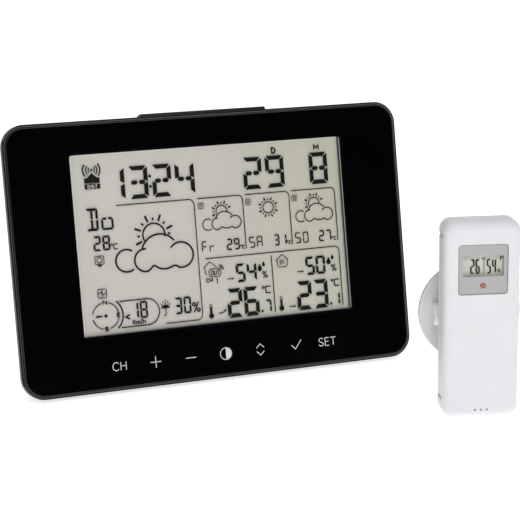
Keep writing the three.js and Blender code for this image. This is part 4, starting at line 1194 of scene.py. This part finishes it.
# chevrons
ks([(17.9, 13.6), (20.0, 15.7), (22.1, 13.6)], KT); ks([(17.9, 11.8), (20.0, 9.7), (22.1, 11.8)], KT)
# tick
ks([(37.6, 12.9), (39.7, 10.7), (43.2, 15.4)], KT)
# SET
sc = [(0.98, .84), (.78, .97), (.5, 1), (.2, .95), (.03, .78), (.08, .6), (.35, .52), (.7, .45), (.97, .3), (.97, .14), (.75, .02), (.45, 0), (.18, .04), (.0, .2)]
ks([(53.3 + 2.5 * u, 10.6 + 4.2 * v) for u, v in sc], KT)
ks([(59.1, 14.8), (56.9, 14.8), (56.9, 10.6), (59.2, 10.6)], KT); ks([(56.9, 12.8), (58.9, 12.8)], KT)
ks([(59.9, 14.75), (63.1, 14.75)], KT); ks([(61.5, 14.8), (61.5, 10.6)], KT)
place(raw(kb, "touch_symbols", merge=0), "touch_symbols", "c", "console", M["print"], (), angle=20)


# ------------------------------------------------------------ transmitter
TZ = TH / 2


def notches():
    out = []
    for z in (9.4, 89.2):
        for sx in (-1, 1):
            pts = [(sx * (TW / 2 + 1), z - 1.75), (sx * (TW / 2 + 1), z + 1.75), (sx * (TW / 2 - 0.75), z + 0.55), (sx * (TW / 2 - 1.0), z + 0.2),
                   (sx * (TW / 2 - 1.0), z - 0.2), (sx * (TW / 2 - 0.75), z - 0.55)]
            out.append(Body().prism(pts, 5.2, TD + 1))
    return out


TF = smooth_profile([(0, 3.7), (0.35, 2.45), (1.0, 1.4), (2.2, 0.6), (4.0, 0.12), (5.5, 0.0)], 4) + [(T_SPLIT - 0.45, 0.0), (T_SPLIT - 0.15, 0.3)]
front = csg(shell(TW, TH, TR, TZ, TF, 1.8, 1.0, 14),
            cut=[shell(TW, TH, TR, TZ, [(1.6, 2.9), (3.0, 2.0), (5.5, T_WALL), (T_SPLIT + 1, T_WALL)], 1.5, 1.0, 8)])
front = csg(front, join=[cyl_y(sx * 13, 90.4, 2.3, 1.2, 5.3) for sx in (-1, 1)],
            cut=[Body().prism(outline(24.0, 24.4, 1.6, 0, 74.05, 8), -1, 4), cyl_y(-13, 90.4, 0.95, 2.6, 6), cyl_y(13, 90.4, 0.95, 2.6, 6)]
            + [cyl_y(x, 4.5, 0.55, -1, 3.2, 20) for x in (-2.9, 0, 2.9)] + notches())
place(front, "tx_front_case", "t", "transmitter", M["white"], "tx_front_shell", bevel=0.16, seg=2, angle=45, bevel_angle=46)

TB = [(T_SPLIT + 0.15, 0.3), (T_SPLIT + 0.45, 0.0)] + smooth_profile([(13.2, 0.0), (15.0, 0.2), (16.6, 0.8), (17.5, 1.7), (TD, 3.2)], 4)
back = csg(shell(TW, TH, TR, TZ, TB, 2.2, 1.0, 14),
           cut=[shell(TW, TH, TR, TZ, [(T_SPLIT - 1, T_WALL), (15.0, 1.8), (16.4, 3.0)], 1.8, 1.0, 8)])
back = csg(back, join=[Body().prism(outline(17, 12.4, 1.5, 0, PIVOT_Z, 8), 17, 19.3)],
           cut=[box(-4.3, 4.3, 16, 20, PIVOT_Z - 3.3, PIVOT_Z + 3.3)] + notches()
           + [Body().prism(outline(9, 0.7, 0.34, 0, 8.6 + 1.5 * i, 4), TD - 0.35, TD + 1) for i in range(4)])
place(back, "tx_rear_case", "t", "tx_back", M["white"], "tx_rear_cover", bevel=0.16, seg=2, angle=45, bevel_angle=46)

fr = csg(Body().prism(outline(23.4, 23.8, 1.4, 0, 74.05, 8), 0.42, 2.6),
         cut=[Body().prism(outline(19.6, 10.3, 0.6, 0, 75.85, 5), 0, 2), box(-10.7, 10.7, 1.35, 3, 69.1, 82.6), cyl_y(0, 66.2, 1.4, 0, 3, 32)])
place(fr, "tx_display_bezel", "t", "transmitter", M["grey"], "tx_display_frame", bevel=0.2, seg=3, angle=40)
place(Body().rings([at_y(outline(20.8, 12.9, 0.4, 0, 75.85, 4), 1.65), at_y(outline(20.8, 12.9, 0.4, 0, 75.85, 4), 2.35)]),
      "tx_display_pane", "t", "transmitter", M["tx_window"], "tx_window", angle=20)
place(Body().rings([at_y(outline(22.4, 15.2, 0.4, 0, 76.4, 4), 2.98), at_y(outline(22.4, 15.2, 0.4, 0, 76.4, 4), 4.5)]),
      "tx_display_panel", "t", "transmitter", M["tx_lcd"], "tx_lcd", angle=20)
led = Body().lathe([(0.02, 0.66), (0.45, 0.72), (0.8, 0.9), (1.05, 1.2), (1.15, 1.6), (1.15, 5.2), (0.02, 5.2)], "y", (0, 66.2), 32)
place(led, "tx_led_lens", "t", "transmitter", M["led"], "tx_led", angle=40)

# its small figures
ink, thin, EYE_C, INK_Y, INK_T = Body(), Body(), EYE, 2.62, 0.05
EYE = EYE_T
for ch, x in (("2", -6.3), ("6", -3.75), ("5", 1.6), ("4", 4.1)):
    digit(ch, x, 72.2, 2.05, 7.0, 0.66, 0.06)
for k in range(5):
    stroke([(-0.05, 72.4 + 1.2 * k), (0.65, 72.75 + 1.2 * k)], 0.3)
stroke(arc(-0.45, 79.3, 0.24, 0, 340, 10), 0.16, closed=True)
stroke([(0.85, 79.55), (0.2, 79.55), (0.2, 78.5), (0.85, 78.5)], 0.26)
percent(6.75, 72.3, 1.9)
stroke([(7.9, 80.0), (9.1, 79.6), (8.0, 79.3)], 0.3)
stroke([(8.45, 80.2), (8.1, 78.3)], 0.3)
o = raw(ink, "tx_display_figures", merge=0)
place(o, "tx_display_figures", "t", "transmitter", M["seg"], "tx_lcd", angle=20)
EYE = EYE_C
# a strip of painted shade along the right inner wall of the small display's window
for xa, xb, nm, mt in ((9.2, 9.75, "tx_display_edge_painted_shade", "rim_painted_shade_mid"),):
    pts = [deep(xa, 70.75, 2.7, EYE_T), deep(xb, 70.75, 2.7, EYE_T), deep(xb, 80.95, 2.7, EYE_T), deep(xa, 80.95, 2.7, EYE_T)]
    place(Body().prism(pts, 2.66, 2.9), nm, "t", "transmitter", M[mt], "tx_lcd", angle=20)

# inner frame with its cell trough
inf = csg(Body().prism(outline(33.2, 93.0, 3.6, 0, TZ, 8), 9.4, 10.9), join=[Body().prism(outline(25.2, 49.4, 1.2, 0, 26.9, 5), 4.3, 10.9)],
          cut=[box(-11.5, 11.5, 5.2, 12, 2.9, 50.7), box(-11, -3.2, 8, 12, 58.2, 61.8), cyl_y(7, 60, 2.0, 8, 12), cyl_y(-13, 90.4, 1.15, 9, 12), cyl_y(13, 90.4, 1.15, 9, 12)])
place(inf, "tx_middle_frame", "t", "transmitter", M["white"], "tx_inner_frame", bevel=0.2, seg=2, angle=40)
for i, x in enumerate((-5.4, 5.4)):
    a, b, s = (5.2, 49.3, 1) if i == 0 else (49.3, 5.2, -1)
    prof_c = [(0.02, a), (3.3, a), (3.5, a + s * 0.12), (4.5, a + s * 0.12), (4.8, a + s * 0.05), (5.05, a + s * 0.3), (5.1, a + s * 0.7), (5.1, b - s * 1.7), (5.0, b - s * 1.3),
              (4.7, b - s * 1.0), (4.3, b - s * 1.1), (2.0, b - s * 1.1), (1.9, b - s * 0.9), (1.8, b - s * 0.2), (1.6, b), (0.02, b)]
    place(Body().lathe(prof_c, "z", (x, 10.5), 40), "aaa_cell_%d" % (i + 1), "t", "transmitter", M["aaa_up"] if s > 0 else M["aaa_dn"],
          "tx_battery_%d" % (i + 1), angle=40)
for k, x in ((1, -13), (2, 13)):
    h = Body().lathe([(0.02, 3.2), (0.5, 3.5), (0.75, 4.2), (0.75, 11.2), (1.95, 11.2), (2.0, 11.35), (1.9, 11.8), (1.4, 12.15), (0.02, 12.3)], "y", (x, 90.4), 30)
    s = csg(h, cut=[box(x - 1.1, x + 1.1, 11.6, 13, 90.2, 90.6), box(x - 0.2, x + 0.2, 11.6, 13, 89.3, 91.5)])
    place(s, "tx_screw_head_%d" % k, "t", "transmitter", M["steel"], "tx_screw_%d" % k, angle=35)
sl = csg(Body().prism([(-11.4, 57.6), (-6.6, 57.6), (-6.6, 62.4), (-11.4, 62.4)], 7.2, 8.0), join=[box(-10.4, -7.6, 7.4, 11.7, 58.7, 61.3)],
         cut=[box(-10.0 + 0.8 * i, -9.7 + 0.8 * i, 11.35, 12, 58, 62) for i in range(3)])
place(sl, "tx_channel_knob", "t", "channel_knob", M["dark"], "tx_channel_slider", bevel=0.12, seg=2)
place(Body().lathe([(0.02, 7.6), (2.4, 7.6), (2.4, 8.4), (1.7, 8.4), (1.7, 11.35), (1.55, 11.6), (1.3, 11.7), (0.02, 11.62)], "y", (7, 60), 36),
      "tx_send_button", "t", "send_button", M["dark"], "tx_button", angle=35)

# wall bracket
ra = [(PIVOT_Y + 4.6 * cos((-90 + 7.5 * i) * DEG), PIVOT_Z + 4.6 * sin((-90 + 7.5 * i) * DEG)) for i in range(25)]
arm = csg(Body().prism_x([(19.6, PIVOT_Z - 4.6)] + ra + [(19.6, PIVOT_Z + 4.6)], -13.9, 13.9), join=[box(-4, 4, 16.7, 20, PIVOT_Z - 3, PIVOT_Z + 3)],
          cut=[cyl_x(PIVOT_Y, PIVOT_Z, 1.65, -15, 15, 28)])
# the arm block wears the lighter copy of the white: painted light
place(arm, "bracket_arm_block", "t", "tx_back", M["lug"], "bracket_arm", bevel=0.3, seg=3, angle=40)
pin = Body().lathe([(0.02, -18.4), (1.25, -18.4), (1.5, -18.15), (1.5, 18.15), (1.25, 18.4), (0.02, 18.4)], "x", (PIVOT_Y, PIVOT_Z), 30)
place(pin, "bracket_pin_turned", "t", "wall_disc", M["steel"], "bracket_pin", angle=35)
dp = smooth_profile([(28.0, 23.2 - 22.3), (28.05, 23.2 - 22.7), (28.3, 23.2 - 22.97), (28.9, 0.0)], 4)
disc = Body().lathe([(0.02, 28.0), (24.1, 28.0), (24.5, 28.02), (24.95, 28.16), (25.25, 28.45), (25.4, 28.9), (25.4, 30.5), (25.25, 30.85), (24.9, 31.0), (0.02, 31.0)], "y", (0, PIVOT_Z), 96)
lugs = []
for sx in (-1, 1):
    q = [(PIVOT_Y + 5.1 * cos((90 + 7.5 * i) * DEG), PIVOT_Z + 5.1 * sin((90 + 7.5 * i) * DEG)) for i in range(25)] + [(28.5, PIVOT_Z - 5.1), (28.5, PIVOT_Z + 5.1)]
    lugs.append(Body().prism_x(q, *((14.3, 19.2) if sx > 0 else (-19.2, -14.3))))
cs = [Body().lathe([(3.6, 27.5), (3.6, 28.1), (2.0, 29.4), (2.0, 32.0)], "y", (0, z), 36) for z in (PIVOT_Z - 14.5, PIVOT_Z + 14.5)]
dd = csg(disc, join=lugs, cut=[cyl_x(PIVOT_Y, PIVOT_Z, 1.65, -18.7, 18.7, 28), cyl_x(PIVOT_Y, PIVOT_Z, 4.9, -14.3, 14.3, 48)] + cs)
# faces in front of the disc's face (the lugs) take the lighter copy, painted light; the rest the darker copy, painted
# shade
for p in dd.data.polygons:
    if p.center.y * 1000 < 27.9:
        p.material_index = 1
place(dd, "bracket_wall_disc", "t", "wall_disc", [M["disc"], M["lug"]], "bracket_disc", bevel=0.22, seg=2, angle=40)

for o in bpy.context.scene.objects:
    if o.type == "MESH" and o.get("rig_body") in ("transmitter", "tx_back", "wall_disc", "channel_knob", "send_button"):
        o.visible_glossy = False


# ------------------------------------------------------------ carried-over CAD pieces
SLOT = {s["node"]: s["material_slot"] for s in frame["record"]["subparts"]}
LOOK = {"frame_black": "frame", "lens_black": "lens", "housing_black": "housing", "bar_charcoal": "bar", "display_glass": "lcd",
        "diffuser": "diffuser", "white_holder": "holder", "rubber_black": "rubber", "board_green": "board", "flex_amber": "flex",
        "ferrite": "ferrite", "copper_wire": "copper", "component_dark": "dark", "sensor_white": "sensor", "steel": "steel",
        "cell_jacket": "aa_fwd", "transmitter_white": "white", "display_grey": "grey", "window_clear": "tx_window", "led_red": "led"}
for name, o in NODES.items():
    if o.hide_render:
        continue
    o.data.materials.clear()
    o.data.materials.append(M[LOOK[SLOT[name]]])
    wd = o.modifiers.new("weld", "WELD")
    wd.merge_threshold = 0.000002
    bv = o.modifiers.new("edge", "BEVEL")
    bv.width, bv.segments, bv.limit_method, bv.angle_limit = 0.00012, 2, "ANGLE", 40 * DEG

# ------------------------------------------------------------ floor and light
fl = Nodes("floor_pale")
fl.set("Base Color", fl.mix(fl.noise(3, 2.0), (0.84, 0.84, 0.84, 1), (0.86, 0.86, 0.86, 1)))
fl.set("Roughness", 0.9)
fl.set("Specular IOR Level", 0.0)
fl.set("Emission Color", (1, 1, 1, 1))
fl.set("Emission Strength", 0.72)
fm = bpy.data.meshes.new("floor")
fm.from_pydata([(-4, -4, -0.0002), (4, -4, -0.0002), (4, 4, -0.0002), (-4, 4, -0.0002)], [], [(0, 1, 2, 3)])
fm.materials.append(fl.mat)
floor = bpy.data.objects.new("floor", fm)
bpy.context.scene.collection.objects.link(floor)

# room: white to the eye, a soft studio to everything else, with a dark flag
# where the glossy front would mirror it
world = bpy.data.worlds.new("studio")
bpy.context.scene.world = world
world.use_nodes = True
wt = world.node_tree
wt.nodes.clear()


def wn(kind, **props):
    n = wt.nodes.new("ShaderNode" + kind)
    for k, v in props.items():
        setattr(n, k, v)
    return n


wout, wmix = wn("OutputWorld"), wn("MixShader")
eye_bg, room_bg = wn("Background"), wn("Background")
eye_bg.inputs[0].default_value = (1, 1, 1, 1)
eye_bg.inputs[1].default_value = 1.03
lp = wn("LightPath")
tc = wn("TexCoord")
flag = Vector((sin(20 * DEG) * cos(8 * DEG), -cos(20 * DEG) * cos(8 * DEG), sin(8 * DEG)))
dot = wn("VectorMath", operation="DOT_PRODUCT")
wt.links.new(tc.outputs["Generated"], dot.inputs[0])
dot.inputs[1].default_value = flag
mr = wn("MapRange", interpolation_type="SMOOTHSTEP")
mr.inputs["From Min"].default_value = cos(52 * DEG)
mr.inputs["From Max"].default_value = cos(22 * DEG)
mr.inputs["To Min"].default_value = 0.0
mr.inputs["To Max"].default_value = 1.0
wt.links.new(dot.outputs["Value"], mr.inputs["Value"])
ramp = wn("Mix", data_type="RGBA")
wt.links.new(mr.outputs[0], ramp.inputs[0])
ramp.inputs[6].default_value = (0.545, 0.545, 0.555, 1)
ramp.inputs[7].default_value = (0.015, 0.015, 0.018, 1)
side = wn("VectorMath", operation="DOT_PRODUCT")         # the room is dimmer to the left
wt.links.new(tc.outputs["Generated"], side.inputs[0])
side.inputs[1].default_value = Vector((-1, -0.1, 0.0)).normalized()
sm = wn("MapRange", interpolation_type="SMOOTHSTEP")
sm.inputs["From Min"].default_value = 0.25
sm.inputs["From Max"].default_value = 0.9
sm.inputs["To Min"].default_value = 0.0
sm.inputs["To Max"].default_value = 1.0
wt.links.new(side.outputs["Value"], sm.inputs["Value"])
dim = wn("Mix", data_type="RGBA")
wt.links.new(sm.outputs[0], dim.inputs[0])
wt.links.new(ramp.outputs[2], dim.inputs[6])
dim.inputs[7].default_value = (0.14, 0.14, 0.145, 1)
wt.links.new(dim.outputs[2], room_bg.inputs[0])
room_bg.inputs[1].default_value = 1.0
wt.links.new(lp.outputs["Is Camera Ray"], wmix.inputs[0])
wt.links.new(room_bg.outputs[0], wmix.inputs[1])
wt.links.new(eye_bg.outputs[0], wmix.inputs[2])
wt.links.new(wmix.outputs[0], wout.inputs[0])


def softbox(name, loc, target, size, power, color=(1, 1, 1)):
    d = bpy.data.lights.new(name, "AREA")
    d.shape, d.size, d.size_y, d.energy, d.color = "RECTANGLE", size[0], size[1], power, color
    o = bpy.data.objects.new(name, d)
    bpy.context.scene.collection.objects.link(o)
    o.location = loc
    o.rotation_mode = "QUATERNION"
    o.rotation_quaternion = (Vector(target) - Vector(loc)).to_track_quat("-Z", "Y")
    return o


mid = (CAD_LO + CAD_HI) / 2
softbox("key", mid + Vector((-0.3, -1.32, 1.2)), mid, (0.55, 0.55), 10.7)
softbox("top", mid + Vector((0.2, 0.1, 1.6)), mid, (1.4, 1.0), 3.2)
bpy.context.scene.view_settings.view_transform = "Standard"
bpy.context.scene.view_settings.look = "None"
